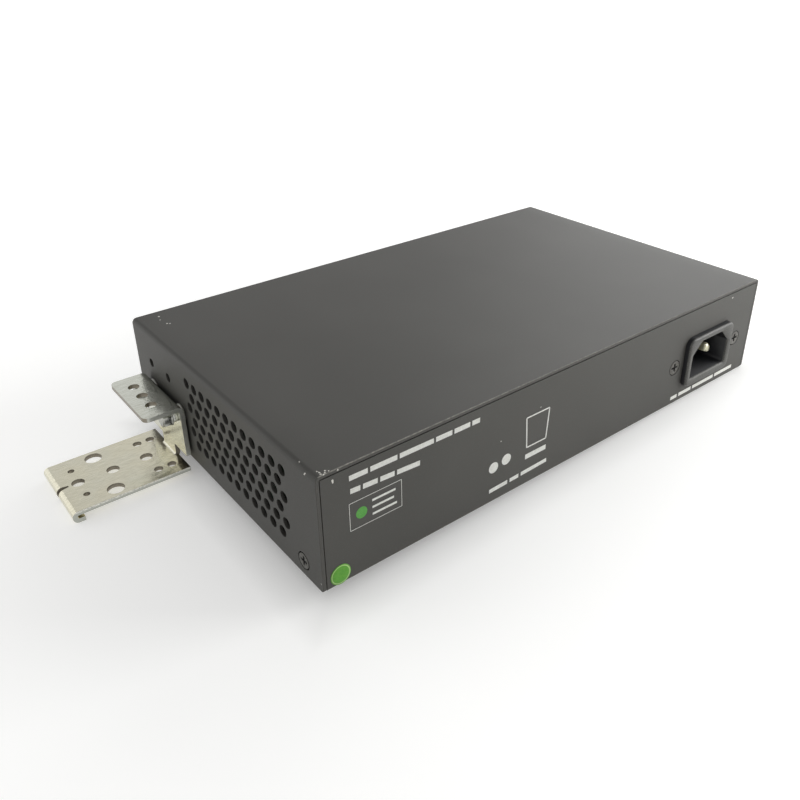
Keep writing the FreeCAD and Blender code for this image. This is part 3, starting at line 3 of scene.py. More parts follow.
import bpy
import numpy as np
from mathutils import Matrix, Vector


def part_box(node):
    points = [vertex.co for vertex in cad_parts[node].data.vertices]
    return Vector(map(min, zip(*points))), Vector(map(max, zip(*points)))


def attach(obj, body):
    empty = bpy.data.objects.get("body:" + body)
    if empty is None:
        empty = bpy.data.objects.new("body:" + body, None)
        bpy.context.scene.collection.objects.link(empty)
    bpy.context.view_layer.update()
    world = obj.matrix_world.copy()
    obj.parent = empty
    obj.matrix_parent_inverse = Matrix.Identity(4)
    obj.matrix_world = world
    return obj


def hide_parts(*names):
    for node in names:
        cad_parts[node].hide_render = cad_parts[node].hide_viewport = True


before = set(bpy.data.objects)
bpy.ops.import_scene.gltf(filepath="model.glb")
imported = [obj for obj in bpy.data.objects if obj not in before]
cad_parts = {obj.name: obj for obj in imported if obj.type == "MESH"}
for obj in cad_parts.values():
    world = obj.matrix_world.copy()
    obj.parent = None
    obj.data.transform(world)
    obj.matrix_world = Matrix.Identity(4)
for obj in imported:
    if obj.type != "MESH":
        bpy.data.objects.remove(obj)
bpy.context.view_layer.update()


# ------------------------------------------------------------------ the cover
# One steel sheet folded into a U and powder-coated a matte dark grey, with a faint orange
# peel. A field of staggered round vents is punched in the skirt on the clip's side, and
# handling has chipped the coat along the rear edge and at the corners.
MM = 0.001
COVER_SHEET = 1.2
COVER_BEND = 1.2
COVER_CORNER = 1.2
VENT_BORE = 3.8
VENT_PITCH = 5.65
VENT_RISE = 4.72
VENT_ROWS = 6
VENT_COLUMNS = 12
VENT_FOOT = 8.75
VENT_REAR_INSET = 18.3
EAR_BORE = 3.3
EAR_REACH = 2.6
EAR_INSET = 13.6
EAR_PITCH = 14.5
EAR_RISE = 27.3
CLIP_SCREW_RISE = 17.0
CLIP_SCREW_PITCH = 22.4
CLIP_SCREW_HOLE = 3.3
CLIP_SCREW_REACH = 2.4
SEAT_BORE = 5.9
SEAT_REACH = 3.4
SEAT_INSET = 9.9
SEAT_RISE = 5.2
# a reach is half the width of the cells that a hole takes the place of, and this grid line
# stands just before both the first ear hole and the first clip screw
SHARED_STOP = 11.1
VENT_CELLS = 8
BEND_CELLS = 9
TOP_CELL = 8.0
SHEET_EDGE = 0.14
COAT_TONES = ("42413D", "474642")
COAT_WORN = "94928A"
BARE_STEEL = "D6D4CC"
TINT = {"out": 2, "data_type": "RGBA"}
# cells to the millimetre: a 50 mm drift, a 0.3 mm peel, 0.4 mm ragged chips, 2 mm scuffs
DRIFT_GRAIN = 0.02
PEEL_GRAIN = 3.5
RAGGED_GRAIN = 2.4
SCUFF_GRAIN = 0.45
RAGGED_REACH = 0.9
# the worn rim: where it starts and is full, in from the rear edge and down from the top
RIM_DEPTH = (0.3, 0.15)
RIM_DROP = (0.3, 0.18)
HANDLED = (-60.0, 95.0)
# places of the chips, and how wide each is
CHIPS = (
    (96.4, -57.8, 40.0, 0.45), (97.3, -54.7, 40.0, 0.3), (96.5, -50.2, 40.0, 0.42),
    (95.7, -49.5, 40.0, 0.34), (104.8, 47.3, 39.6, 0.3), (104.1, 53.4, 39.9, 0.32),
    (105.0, 57.5, 38.7, 0.34), (105.0, 57.2, 38.3, 0.26), (102.9, 60.2, 40.0, 0.3),
    (102.6, 61.0, 40.0, 0.28), (102.7, 61.8, 40.0, 0.3), (102.2, 62.4, 39.9, 0.32),
    (101.5, 62.0, 40.0, 0.28), (101.0, 61.3, 40.0, 0.3), (100.3, 61.9, 40.0, 0.24),
    (97.8, 62.5, 39.4, 0.32), (99.7, 62.5, 36.9, 0.36), (99.65, 62.5, 36.5, 0.4),
    (99.6, 62.5, 36.1, 0.28), (105.0, 61.6, 3.0, 0.26), (-87.4, 62.5, 36.6, 0.4),
    (37.2, 62.5, 22.5, 0.25), (19.7, 62.5, 28.4, 0.25),
)


def span(node):
    """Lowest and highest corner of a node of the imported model, in millimetres."""
    low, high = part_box(node)
    return np.array(low) / MM, np.array(high) / MM


def lines(stops, step):
    """Grid lines through the given stops, nowhere further apart than the step."""
    runs = []
    for near, far in zip(stops[:-1], stops[1:]):
        cells = max(1, math.ceil((far - near) / step))
        runs.append(np.linspace(near, far, cells + 1)[:-1])
    return np.append(np.concatenate(runs), stops[-1])


def blank(us, vs, holes=(), cuts=()):
    """A flat blank on a grid of lines, with holes and open cuts.

    A hole takes out a block of cells, and the block's border is joined to the hole's
    outline: each border point is scaled to the rectangle around the hole, and from there
    moved onto the arc about the nearest point of that rectangle less its corner radius.
    """
    number = np.arange(len(us) * len(vs)).reshape(len(us), len(vs))
    grid = np.stack(np.meshgrid(us, vs, indexing="ij"), -1).reshape(-1, 2)
    points = [grid]
    keep = np.ones((len(us) - 1, len(vs) - 1), bool)
    faces = []
    total = len(grid)
    for u, v, half_u, half_v, corner, reach_u, reach_v in holes:
        low_i, high_i = (np.abs(us - side).argmin() for side in (u - reach_u, u + reach_u))
        low_j, high_j = (np.abs(vs - side).argmin() for side in (v - reach_v, v + reach_v))
        keep[low_i:high_i, low_j:high_j] = False
        border = np.concatenate([
            number[low_i:high_i, low_j],
            number[high_i, low_j:high_j],
            number[high_i:low_i:-1, high_j],
            number[low_i, high_j:low_j:-1],
        ])
        half = np.array([half_u, half_v])
        block = np.array([[us[low_i], vs[low_j]], [us[high_i], vs[high_j]]])
        spot = (grid[border] - block.mean(0)) / (block[1] - block[0]) * 2 * half
        core = np.clip(spot, corner - half, half - corner)
        arc = spot - core
        arc *= corner / np.linalg.norm(arc, axis=1, keepdims=True)
        ring = total + np.arange(len(border))
        total += len(border)
        points.append(core + arc + (u, v))
        faces.append(np.stack([border, np.roll(border, -1), np.roll(ring, -1), ring], 1))
    for low_u, high_u, low_v, high_v in cuts:
        rows = slice(np.abs(us - low_u).argmin(), np.abs(us - high_u).argmin())
        keep[rows, np.abs(vs - low_v).argmin():np.abs(vs - high_v).argmin()] = False
    cells = np.stack([number[:-1, :-1], number[1:, :-1], number[1:, 1:], number[:-1, 1:]], -1)
    return np.concatenate(points), np.concatenate(faces + [cells[keep]])


def nipped(flat, ends, sides, radius):
    """A flat blank with its corners rounded, each at one of the ends and one of the sides.

    In a corner's square the shares a and b of the radius that are left to the square's
    inner sides become a sqrt(1 - b b / 2) and b sqrt(1 - a a / 2).
    """
    centre = (flat.min(0) + flat.max(0)) / 2
    for end in ends:
        for side in sides:
            inward = np.sign(centre - (end, side))
            share = np.clip(1 - np.abs(flat - (end, side)) / radius, 0, None)
            flat = flat + inward * radius * share * (1 - np.sqrt(1 - share[:, ::-1] ** 2 / 2))
    return flat


def folded(distance, start, heading, runs):
    """The middle line of a folded strip, made of straight runs and arcs laid end to end.

    A run is its length and the angle that it turns by. At distance s into a run that
    turns by the rate k, the line has moved by the chord s sinc(k s / 2) in the direction
    that lies half of the turn k s on from the run's first heading.
    """
    place = np.array(start, float)
    angle = math.radians(heading)
    done = 0.0
    line = np.zeros((len(distance), 2))
    for length, turn in runs:
        rate = math.radians(turn) / length
        ahead = np.append(distance - done, length)
        half = rate * ahead / 2
        chord = ahead * np.sinc(half / math.pi)
        spots = place + chord[:, None] * np.stack([np.cos(angle + half), np.sin(angle + half)], 1)
        line[ahead[:-1] >= 0] = spots[:-1][ahead[:-1] >= 0]
        place = spots[-1]
        angle += math.radians(turn)
        done += length
    return line


def channel(rise, bend, width):
    """The runs of a sheet folded into a U, and how far along the sheet each of them ends."""
    arc = (bend * math.pi / 2, 90.0)
    skirt = (rise - bend, 0.0)
    runs = (skirt, arc, (width - 2 * bend, 0.0), arc, skirt)
    return runs, np.cumsum([length for length, turn in runs])


def make(name, skins, material, slot, *nodes):
    """One object from skins of points in millimetres and blocks of faces, standing for nodes."""
    points, faces, start = [], [], 0
    for skin_points, blocks in skins:
        points.append(np.asarray(skin_points) * MM)
        faces += [face for block in blocks for face in (block + start).tolist()]
        start += len(skin_points)
    mesh = bpy.data.meshes.new(name)
    mesh.from_pydata(np.concatenate(points).tolist(), [], faces)
    mesh.shade_smooth()
    mesh.materials.append(material)
    piece = bpy.data.objects.new(name, mesh)
    bpy.context.scene.collection.objects.link(piece)
    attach(piece, "root")
    if nodes:
        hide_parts(*nodes)
    return piece


def thicken(piece, sheet):
    """Give a sheet's middle surface its thickness."""
    solid = piece.modifiers.new("sheet", "SOLIDIFY")
    solid.thickness = sheet * MM
    solid.offset = 0
    solid.use_even_offset = True


def ease(piece, width, segments=2, limit=40):
    """Break the sharp edges of a piece, so that they catch the light."""
    bevel = piece.modifiers.new("edges", "BEVEL")
    bevel.width = width * MM
    bevel.segments = segments
    bevel.limit_method = "ANGLE"
    bevel.angle_limit = math.radians(limit)
    bevel.harden_normals = True


def linear(code):
    """The linear colour of a six-digit sRGB code."""
    srgb = np.array([int(code[place:place + 2], 16) for place in (0, 2, 4)]) / 255
    steep = ((srgb + 0.055) / 1.055) ** 2.4
    return (*np.where(srgb <= 0.04045, srgb / 12.92, steep).tolist(), 1.0)


def begin(name):
    """A new material, its node tree, and the place on the object in millimetres."""
    material = bpy.data.materials.new(name)
    material.use_nodes = True
    tree = material.node_tree
    tree.nodes.clear()
    place = add(tree, "TexCoord", out="Object")
    return material, tree, add(tree, "VectorMath", {0: place, "Scale": 1 / MM}, operation="SCALE")


def add(tree, kind, inputs=None, out=0, **settings):
    """Add a shader node, set or link its inputs, and give back one of its outputs, if any."""
    node = tree.nodes.new("ShaderNode" + kind)
    for setting, given in settings.items():
        setattr(node, setting, given)
    for socket, given in (inputs or {}).items():
        if isinstance(given, bpy.types.NodeSocket):
            tree.links.new(given, node.inputs[socket])
        else:
            node.inputs[socket].default_value = given
    return node.outputs[out] if node.outputs else None


def shade(tree, sockets):
    """Close a material with its shader and output."""
    add(tree, "OutputMaterial", {"Surface": add(tree, "BsdfPrincipled", sockets)})


def clouded(name, tones, grain, detail=2.0, roughness=0.5, ends=(0.35, 0.65)):
    """A new material whose colour drifts between two tones, in clouds of 1 / grain millimetres."""
    material, tree, place = begin(name)
    cloud = add(tree, "TexNoise", {"Vector": place, "Scale": grain, "Detail": detail, "Roughness": roughness})
    tone = add(tree, "MapRange", {0: cloud, 1: ends[0], 2: ends[1]})
    colour = add(tree, "Mix", {0: tone, 6: linear(tones[0]), 7: linear(tones[1])}, **TINT)
    return material, tree, place, cloud, colour


def powder_coat(name, chips):
    """Matte powder coat: a slow drift of tone, a fine peel, a pale worn rim and bare chips."""
    material, tree, place, drift, coat = clouded(name, COAT_TONES, DRIFT_GRAIN)
    grain = add(tree, "TexNoise", {"Vector": place, "Scale": PEEL_GRAIN, "Roughness": 0.6})
    fleck = add(tree, "MapRange", {0: grain, 1: 0.62, 2: 0.72, 4: 0.16})
    flecked = add(tree, "Mix", {0: fleck, 6: coat, 7: linear(COAT_WORN)}, **TINT)
    ragged = add(tree, "TexNoise", {"Vector": place, "Scale": RAGGED_GRAIN, "Detail": 3.0, "Roughness": 0.7},
                 out=1)
    shift = add(tree, "VectorMath", {0: ragged, 1: (-0.5, -0.5, -0.5)}, operation="ADD")
    wander = add(tree, "VectorMath", {0: shift, 1: (RAGGED_REACH,) * 3, 2: place}, operation="MULTIPLY_ADD")
    bare = 0.0
    for *middle, size in chips:
        away = add(tree, "VectorMath", {0: wander, 1: middle}, out=1, operation="DISTANCE")
        inside = add(tree, "MapRange", {0: away, 1: size, 2: size * 0.7})
        bare = add(tree, "Math", {0: inside, 1: bare}, operation="MAXIMUM")
    rear, top = cover_high[1:].round(3).tolist()
    rim = add(tree, "MapRange", {0: add(tree, "SeparateXYZ", {0: place}, out="Y"),
                                 1: rear - RIM_DEPTH[0], 2: rear - RIM_DEPTH[1]})
    upper = add(tree, "MapRange", {0: add(tree, "SeparateXYZ", {0: place}, out="Z"),
                                   1: top - RIM_DROP[0], 2: top - RIM_DROP[1]})
    handled = add(tree, "MapRange", {0: add(tree, "SeparateXYZ", {0: place}, out="X"),
                                     1: HANDLED[0], 2: HANDLED[1], 3: 0.25})
    scuff = add(tree, "TexNoise", {"Vector": place, "Scale": SCUFF_GRAIN, "Detail": 5.0, "Roughness": 0.7})
    scuffed = add(tree, "MapRange", {0: scuff, 1: 0.36, 2: 0.6, 3: 0.15})
    worn = rim
    for share in (upper, handled, scuffed):
        worn = add(tree, "Math", {0: worn, 1: share}, operation="MULTIPLY")
    rubbed = add(tree, "Mix", {0: worn, 6: flecked, 7: linear(COAT_WORN)}, **TINT)
    colour = add(tree, "Mix", {0: bare, 6: rubbed, 7: linear(BARE_STEEL)}, **TINT)
    gloss = add(tree, "MapRange", {0: grain, 1: 0.3, 2: 0.7, 3: 0.5, 4: 0.62})
    polish = add(tree, "Math", {0: gloss, 1: bare}, operation="SUBTRACT", use_clamp=True)
    rough = add(tree, "Math", {0: polish, 1: 0.32}, operation="MAXIMUM")
    sunk = add(tree, "Math", {0: bare, 1: -3.0, 2: grain}, operation="MULTIPLY_ADD")
    relief = add(tree, "Bump", {"Strength": 0.35, "Distance": 0.03 * MM, "Height": sunk})
    metal = add(tree, "Math", {0: bare, 1: 0.7}, operation="MULTIPLY")
    shade(tree, {"Base Color": colour, "Roughness": rough, "Metallic": metal, "Normal": relief})
    return material


def hole(u, v, bore, reach_u, reach_v=None):
    """A round hole in a blank, and how far its block of cells reaches each way."""
    return (u, v, bore / 2, bore / 2, bore / 2, reach_u, reach_v or reach_u)


cover_low, cover_high = span("top_cover")
clip_low, clip_high = span("rail_bracket")
clip_y = (clip_low[1] + clip_high[1]) / 2
clip_screw_y = (clip_y - CLIP_SCREW_PITCH / 2, clip_y + CLIP_SCREW_PITCH / 2)
front = cover_low[1]
seat_y = (front + SEAT_INSET, cover_high[1] - SEAT_INSET)
ear_y = (front + EAR_INSET, front + EAR_INSET + EAR_PITCH)
cover_half = cover_high[0] - COVER_SHEET / 2
cover_runs, bends = channel(cover_high[2] - COVER_SHEET / 2, COVER_BEND, 2 * cover_half)
cover_length = bends[-1]
seat_foot = SEAT_RISE - SEAT_REACH
seat_top = SEAT_RISE + SEAT_REACH
vent_base = VENT_FOOT - VENT_RISE / 2
vent_lines = [vent_base + VENT_RISE * row for row in range(VENT_ROWS + 1)]
far_rises = (EAR_RISE + EAR_REACH, EAR_RISE - EAR_REACH, seat_top, seat_foot, 0.0)
cover_us = np.unique(np.concatenate([
    lines([0.0, seat_foot] + vent_lines, VENT_RISE / VENT_CELLS + 0.001),
    lines([vent_lines[-1], bends[0]], 0.9),
    np.linspace(bends[0], bends[1], BEND_CELLS),
    lines([bends[1], bends[2]], TOP_CELL),
    np.linspace(bends[2], bends[3], BEND_CELLS),
    lines([bends[3]] + [cover_length - rise for rise in far_rises], 0.75),
]).round(5))
last_vent = cover_high[1] - VENT_REAR_INSET
vent_stops = [last_vent + VENT_PITCH / 2 * (1 - step) for step in range(2 * VENT_COLUMNS + 1)][::-1]
cover_front_stops = [
    front,
    front + COVER_CORNER,
    seat_y[0] - SEAT_REACH,
    front + SHARED_STOP,
    ear_y[0] + EAR_REACH,
    ear_y[1] - EAR_REACH,
    ear_y[1] + EAR_REACH,
    clip_screw_y[1] - CLIP_SCREW_REACH,
    clip_screw_y[1] + CLIP_SCREW_REACH,
]
cover_rear_stops = [
    seat_y[1] - SEAT_REACH,
    seat_y[1] + SEAT_REACH,
    cover_high[1] - COVER_CORNER,
    cover_high[1],
]
cover_vs = lines(cover_front_stops + vent_stops + cover_rear_stops, VENT_PITCH / VENT_CELLS + 0.001)
cover_holes = []
for row in range(VENT_ROWS):
    short = 1 - row % 2
    for column in range(VENT_COLUMNS - short):
        rise = VENT_FOOT + VENT_RISE * row
        across = last_vent - VENT_PITCH * (column + short / 2)
        cover_holes.append(hole(rise, across, VENT_BORE, VENT_RISE / 2, VENT_PITCH / 2))
for across in clip_screw_y:
    cover_holes.append(hole(CLIP_SCREW_RISE, across, CLIP_SCREW_HOLE, CLIP_SCREW_REACH))
for rise, places, bore, reach in (
    (EAR_RISE, ear_y, EAR_BORE, EAR_REACH),
    (SEAT_RISE, seat_y, SEAT_BORE, SEAT_REACH),
):
    for across in places:
        cover_holes.append(hole(rise, across, bore, reach))
        cover_holes.append(hole(cover_length - rise, across, bore, reach))
cover_flat, cover_faces = blank(cover_us, cover_vs, cover_holes)
cover_flat = nipped(cover_flat, (0.0, cover_length), (front, cover_high[1]), COVER_CORNER)
cover_line = folded(cover_flat[:, 0], (cover_half, 0.0), 90.0, cover_runs)
cover_points = np.stack([cover_line[:, 0], cover_flat[:, 1], cover_line[:, 1]], 1)
coat = powder_coat("powder_coat", CHIPS)
cover = make("cover_shell", [(cover_points, [cover_faces])], coat, "painted_steel", "top_cover")
thicken(cover, COVER_SHEET)
ease(cover, SHEET_EDGE)


# ------------------------------------------------------------------- the tray
# The floor and both end panels are one folded sheet, powder-coated like the cover. Four
# welded angles inside take the cover's screws, and the tall one backs the rail clip. The
# windows for the inlet, the sockets and the lights are punched before folding.
TRAY_SHEET = 1.2
TRAY_BEND = 0.4
INLET_X = -74.4
INLET_RISE = 16.8
INLET_SCREW_PITCH = 40.0
INLET_SEAT_BORE = 6.3
INLET_SEAT_REACH = 4.2
INLET_WINDOW = (28.9, 20.9, 3.15)
INLET_REACH = (15.8, 12.0)
LIGHT_SIZE = (4.2, 2.2)
LIGHT_PITCH = 5.4
LIGHT_ROW = 5.0
LIGHT_SLIP = 0.2
LIGHTS_ACROSS = 5
SOCKET_SLIP = 0.3
SOCKET_REACH = 1.2
SOCKET_REACH_UP = 1.0
SOCKET_REACH_DOWN = 0.9
WINDOW_CELL = 1.25
ANGLE_CELL = 1.0
TAB_LENGTH = 11.0
TAB_RISE = 10.0
TAB_FOOT = 5.0
WALL_LENGTH = 38.0
WALL_RISE = 23.0

tray_low, tray_high = span("chassis_tray")
tray_half = tray_high[1] - TRAY_SHEET / 2
tray_arc = TRAY_BEND * math.pi / 2
tray_runs, bends = channel(tray_high[2] - TRAY_SHEET / 2, TRAY_BEND, 2 * tray_half)
tray_length = bends[-1]
socket_low, socket_high = span("socket_shield")
lights_low, lights_high = span("status_lights")
light_x = lights_low[0] + (LIGHT_SIZE[0] - LIGHT_SLIP) / 2
light_z = lights_low[2] + (LIGHT_SIZE[1] - LIGHT_SLIP) / 2
light_sides = [light_x + LIGHT_PITCH * (step - 0.5) for step in range(LIGHTS_ACROSS + 1)]
inlet_far = INLET_SCREW_PITCH / 2 + INLET_SEAT_REACH
inlet_sides = [INLET_X + offset for offset in (-inlet_far, -INLET_REACH[0], INLET_REACH[0], inlet_far)]
socket_sides = [socket_low[0] - SOCKET_SLIP - SOCKET_REACH, socket_high[0] + SOCKET_SLIP + SOCKET_REACH]
tray_vs = lines([tray_low[0]] + inlet_sides + light_sides + socket_sides + [tray_high[0]], WINDOW_CELL)
light_levels = [light_z + LIGHT_ROW * step for step in (1.5, 0.5, -0.5)]
socket_levels = [socket_high[2] + SOCKET_SLIP + SOCKET_REACH_UP, socket_low[2] - SOCKET_REACH_DOWN]
front_stops = sorted([tray_high[2] - level for level in light_levels + socket_levels])
inlet_u = tray_length - tray_high[2] + INLET_RISE
rear_stops = [inlet_u + offset
              for offset in (-INLET_REACH[1], -INLET_SEAT_REACH, INLET_SEAT_REACH, INLET_REACH[1])]
tray_us = np.unique(np.concatenate([
    lines([0.0] + front_stops + [bends[0]], WINDOW_CELL),
    np.linspace(bends[0], bends[1], BEND_CELLS),
    lines([bends[1], bends[2]], TOP_CELL),
    np.linspace(bends[2], bends[3], BEND_CELLS),
    lines([bends[3]] + rear_stops + [bends[4]], WINDOW_CELL),
]).round(5))
tray_holes = [(inlet_u, INLET_X, INLET_WINDOW[1] / 2, INLET_WINDOW[0] / 2, INLET_WINDOW[2],
               INLET_REACH[1], INLET_REACH[0])]
for side in (-1, 1):
    across = INLET_X + side * INLET_SCREW_PITCH / 2
    tray_holes.append(hole(inlet_u, across, INLET_SEAT_BORE, INLET_SEAT_REACH))
socket_middle = (socket_low + socket_high) / 2
socket_half = (socket_high - socket_low) / 2 + SOCKET_SLIP
tray_holes.append((tray_high[2] - sum(socket_levels) / 2, socket_middle[0], socket_half[2] - SOCKET_SLIP / 2,
                   socket_half[0], SOCKET_SLIP, (socket_levels[0] - socket_levels[1]) / 2,
                   socket_half[0] + SOCKET_REACH))
for line in (0, 1):
    for column in range(LIGHTS_ACROSS - line):
        tray_holes.append((tray_high[2] - light_z - LIGHT_ROW * line, light_x + LIGHT_PITCH * column,
                           LIGHT_SIZE[1] / 2, LIGHT_SIZE[0] / 2, LIGHT_SLIP, LIGHT_ROW / 2, LIGHT_PITCH / 2))
tray_flat, tray_faces = blank(tray_us, tray_vs, tray_holes)
tray_line = folded(tray_flat[:, 0], (-tray_half, tray_high[2]), -90.0, tray_runs)
tray_points = np.stack([tray_flat[:, 1], tray_line[:, 0], tray_line[:, 1]], 1)
tray_skins = [(tray_points, [tray_faces])]
upright = tray_high[0] - TRAY_SHEET / 2
foot_z = tray_low[2] + 1.5 * TRAY_SHEET
wall_middle = seat_y[0] - TAB_LENGTH / 2 + WALL_LENGTH / 2
foot_run = TAB_FOOT + TRAY_SHEET / 2 - TRAY_BEND
for side, middle, length, rise in (
    (1, seat_y[1], TAB_LENGTH, TAB_RISE),
    (-1, seat_y[1], TAB_LENGTH, TAB_RISE),
    (-1, seat_y[0], TAB_LENGTH, TAB_RISE),
    (1, wall_middle, WALL_LENGTH, WALL_RISE),
):
    rise_run = tray_low[2] + TRAY_SHEET + rise - foot_z - TRAY_BEND
    angle_runs = ((foot_run, 0.0), (tray_arc, 90.0), (rise_run, 0.0))
    bent = foot_run + tray_arc
    foot_us = np.unique(np.concatenate([
        lines([0.0, foot_run], ANGLE_CELL),
        np.linspace(foot_run, bent, 7),
        lines([bent, bent + rise_run], ANGLE_CELL),
    ]).round(5))
    angle_flat, angle_faces = blank(foot_us, lines([-length / 2, length / 2], ANGLE_CELL))
    line = folded(angle_flat[:, 0], (upright - TRAY_BEND - foot_run, foot_z), 0.0, angle_runs)
    angle_points = np.stack([side * line[:, 0], middle + angle_flat[:, 1], line[:, 1]], 1)
    tray_skins.append((angle_points, [angle_faces]))
tray = make("tray_shell", tray_skins, coat, "painted_steel", "chassis_tray")
thicken(tray, TRAY_SHEET)
ease(tray, SHEET_EDGE)


# --------------------------------------------------------------- the rail clip
# One strip of zinc-plated steel: a rounded flange with three holes, a leg that is screwed
# to the case, a neck bent outwards under it, and a plate whose end is folded back as a
# hook in two fingers. The sheared edges are bright, and the long one is torn, with a painted
# highlight along the top of its cut. The cut faces away from the long sides, in the holes
# above all, carry painted shade.
CLIP_SHEET = 1.6
CLIP_MIDDLE = 1.8
HOOK_MIDDLE = 1.2
PLATE_REACH = 41.0
PLATE_LEVEL = -3.5
CLIP_FLANGE_LENGTH = 12.4
HOOK_MOUTH_RUN = 0.4
CLIP_NECK = 10.6
NECK_SLOT = 0.3
WING_RISE = 2.0
WING_INNER = 0.7
FLANGE_ROUND = 2.2
SLIT_ROOT = (4.0, 0.8)
SLIT_MOUTH = (-1.6, 3.0)
HOOK_LIP = 2.4
LEG_HOLE_REACH = 2.35
# holes: place out from the leg, spacing or half of it, bore, and the reach of its cells
FLANGE_LINE = (6.6, 7.8, 4.0, 3.4, 3.9)
PLATE_LINE = (9.2, 12.25, 4.5, 3.1)
PLATE_PAIRS = (
    (3.8, 10.0, 3.2, 2.4),
    (8.7, 10.0, 3.2, 2.4),
    (24.6, 11.35, 6.0, 4.0),
    (33.5, 8.25, 2.3, 2.0),
)
CLIP_CELL = 0.5
LEG_CELL = 0.55
NECK_CELL = 0.4
CLIP_EDGE = 0.2
ZINC_COOL = "D9DBD1"
ZINC_WARM = "E1DCC6"
ZINC_DULL = "A5A391"
# painted highlight on the torn strip at the top of the cut
ZINC_TORN_HIGHLIGHT = "FBF9F0"
SHEAR_TONE = "B9BBB3"
# painted shade on the cut faces away from the long sides, the hole walls above all
BORE_SHADE_TONES = ("7D766B", "A39D91")
# cells to the millimetre: 11 mm patches, 1.2 mm streaks, 3 mm waves and 0.6 mm tears
PATCH_GRAIN = 0.09
ROLLED_GRAIN = 0.8
ROLLED_STRETCH = (0.35, 3.0, 1.0)
WAVE_GRAIN = 0.35
TEAR_GRAIN = 1.7
# heights over which the torn strip and its painted highlight fade in
TEAR_BAND = (-3.6, -3.2)


def finish(tree, colour, gloss, rough, relief, strength, depth, **others):
    """Close a material whose roughness follows one pattern and its relief another.

    The roughness runs over the given range, and the relief is at most depth millimetres.
    """
    bump = add(tree, "Bump", {"Strength": strength, "Distance": depth * MM, "Height": relief})
    roughness = add(tree, "MapRange", {0: gloss, 1: 0.3, 2: 0.7, 3: rough[0], 4: rough[1]})
    shade(tree, {"Base Color": colour, "Roughness": roughness, "Normal": bump, **others})


def zinc(name):
    """Bright zinc plate: cool down the leg, warm on the plate, with streaks from rolling."""
    material, tree, place = begin(name)
    patch = add(tree, "TexNoise", {"Vector": place, "Scale": PATCH_GRAIN, "Detail": 3.0, "Roughness": 0.55})
    height = add(tree, "SeparateXYZ", {0: place}, out="Z")
    level = add(tree, "MapRange", {0: height, 1: -2.0, 2: 12.0, 3: 0.15, 4: 0.85})
    blend = add(tree, "Math", {0: patch, 1: 0.7, 2: level}, operation="MULTIPLY_ADD")
    cool = add(tree, "MapRange", {0: blend, 1: 0.4, 2: 1.15})
    tone = add(tree, "Mix", {0: cool, 6: linear(ZINC_WARM), 7: linear(ZINC_COOL)}, **TINT)
    streaks = add(tree, "VectorMath", {0: place, 1: ROLLED_STRETCH}, operation="MULTIPLY")
    rolled = add(tree, "TexNoise", {"Vector": streaks, "Scale": ROLLED_GRAIN, "Detail": 4.0,
                                    "Roughness": 0.6})
    dull = add(tree, "MapRange", {0: rolled, 1: 0.45, 2: 0.75, 4: 0.3})
    stained = add(tree, "Mix", {0: dull, 6: tone, 7: linear(ZINC_DULL)}, **TINT)
    waves = add(tree, "TexNoise", {"Vector": place, "Scale": WAVE_GRAIN})
    uneven = add(tree, "Math", {0: waves, 1: 3.0, 2: rolled}, operation="MULTIPLY_ADD")
    finish(tree, stained, rolled, (0.13, 0.26), uneven, 0.7, 0.05, Metallic=1.0)
    return material


def sheared(name):
    """Sheared zinc-plated edges: smooth along the sides, torn near the top with a painted highlight there,
    and darker away from the long sides as painted shade in the holes.
    """
    material, tree, place = begin(name)
    side = add(tree, "SeparateXYZ", {0: place}, out="Y")
    height = add(tree, "SeparateXYZ", {0: place}, out="Z")
    aside = add(tree, "Math", {0: side, 1: clip_y}, operation="SUBTRACT")
    aside = add(tree, "Math", {0: aside}, operation="ABSOLUTE")
    outer = add(tree, "MapRange", {0: aside, 1: strip_half - 0.35, 2: strip_half - 0.2})
    upper = add(tree, "MapRange", {0: height, 1: TEAR_BAND[0], 2: TEAR_BAND[1]})
    lower = add(tree, "MapRange", {0: height, 1: 0.0, 2: 2.0, 3: 1.0, 4: 0.2})
    tear = add(tree, "TexNoise", {"Vector": place, "Scale": TEAR_GRAIN, "Detail": 6.0, "Roughness": 0.85})
    torn = add(tree, "MapRange", {0: tear, 1: 0.42, 2: 0.54})
    # torn metal with a painted highlight, strongest at the top of the plate's cut
    torn_highlight_band = add(tree, "Math", {0: upper, 1: lower}, operation="MULTIPLY")
    torn_highlight_band = add(tree, "Math", {0: torn_highlight_band, 1: torn}, operation="MULTIPLY")
    edge = add(tree, "Mix", {0: torn_highlight_band, 6: linear(SHEAR_TONE), 7: linear(ZINC_TORN_HIGHLIGHT)}, **TINT)
    # painted shade on the cut faces in the holes and away from the long sides
    bore_shade = add(tree, "Mix", {0: tear, 6: linear(BORE_SHADE_TONES[0]), 7: linear(BORE_SHADE_TONES[1])}, **TINT)
    colour = add(tree, "Mix", {0: outer, 6: bore_shade, 7: edge}, **TINT)
    finish(tree, colour, tear, (0.28, 0.45), torn_highlight_band, 0.9, 0.06, Metallic=1.0)
    return material


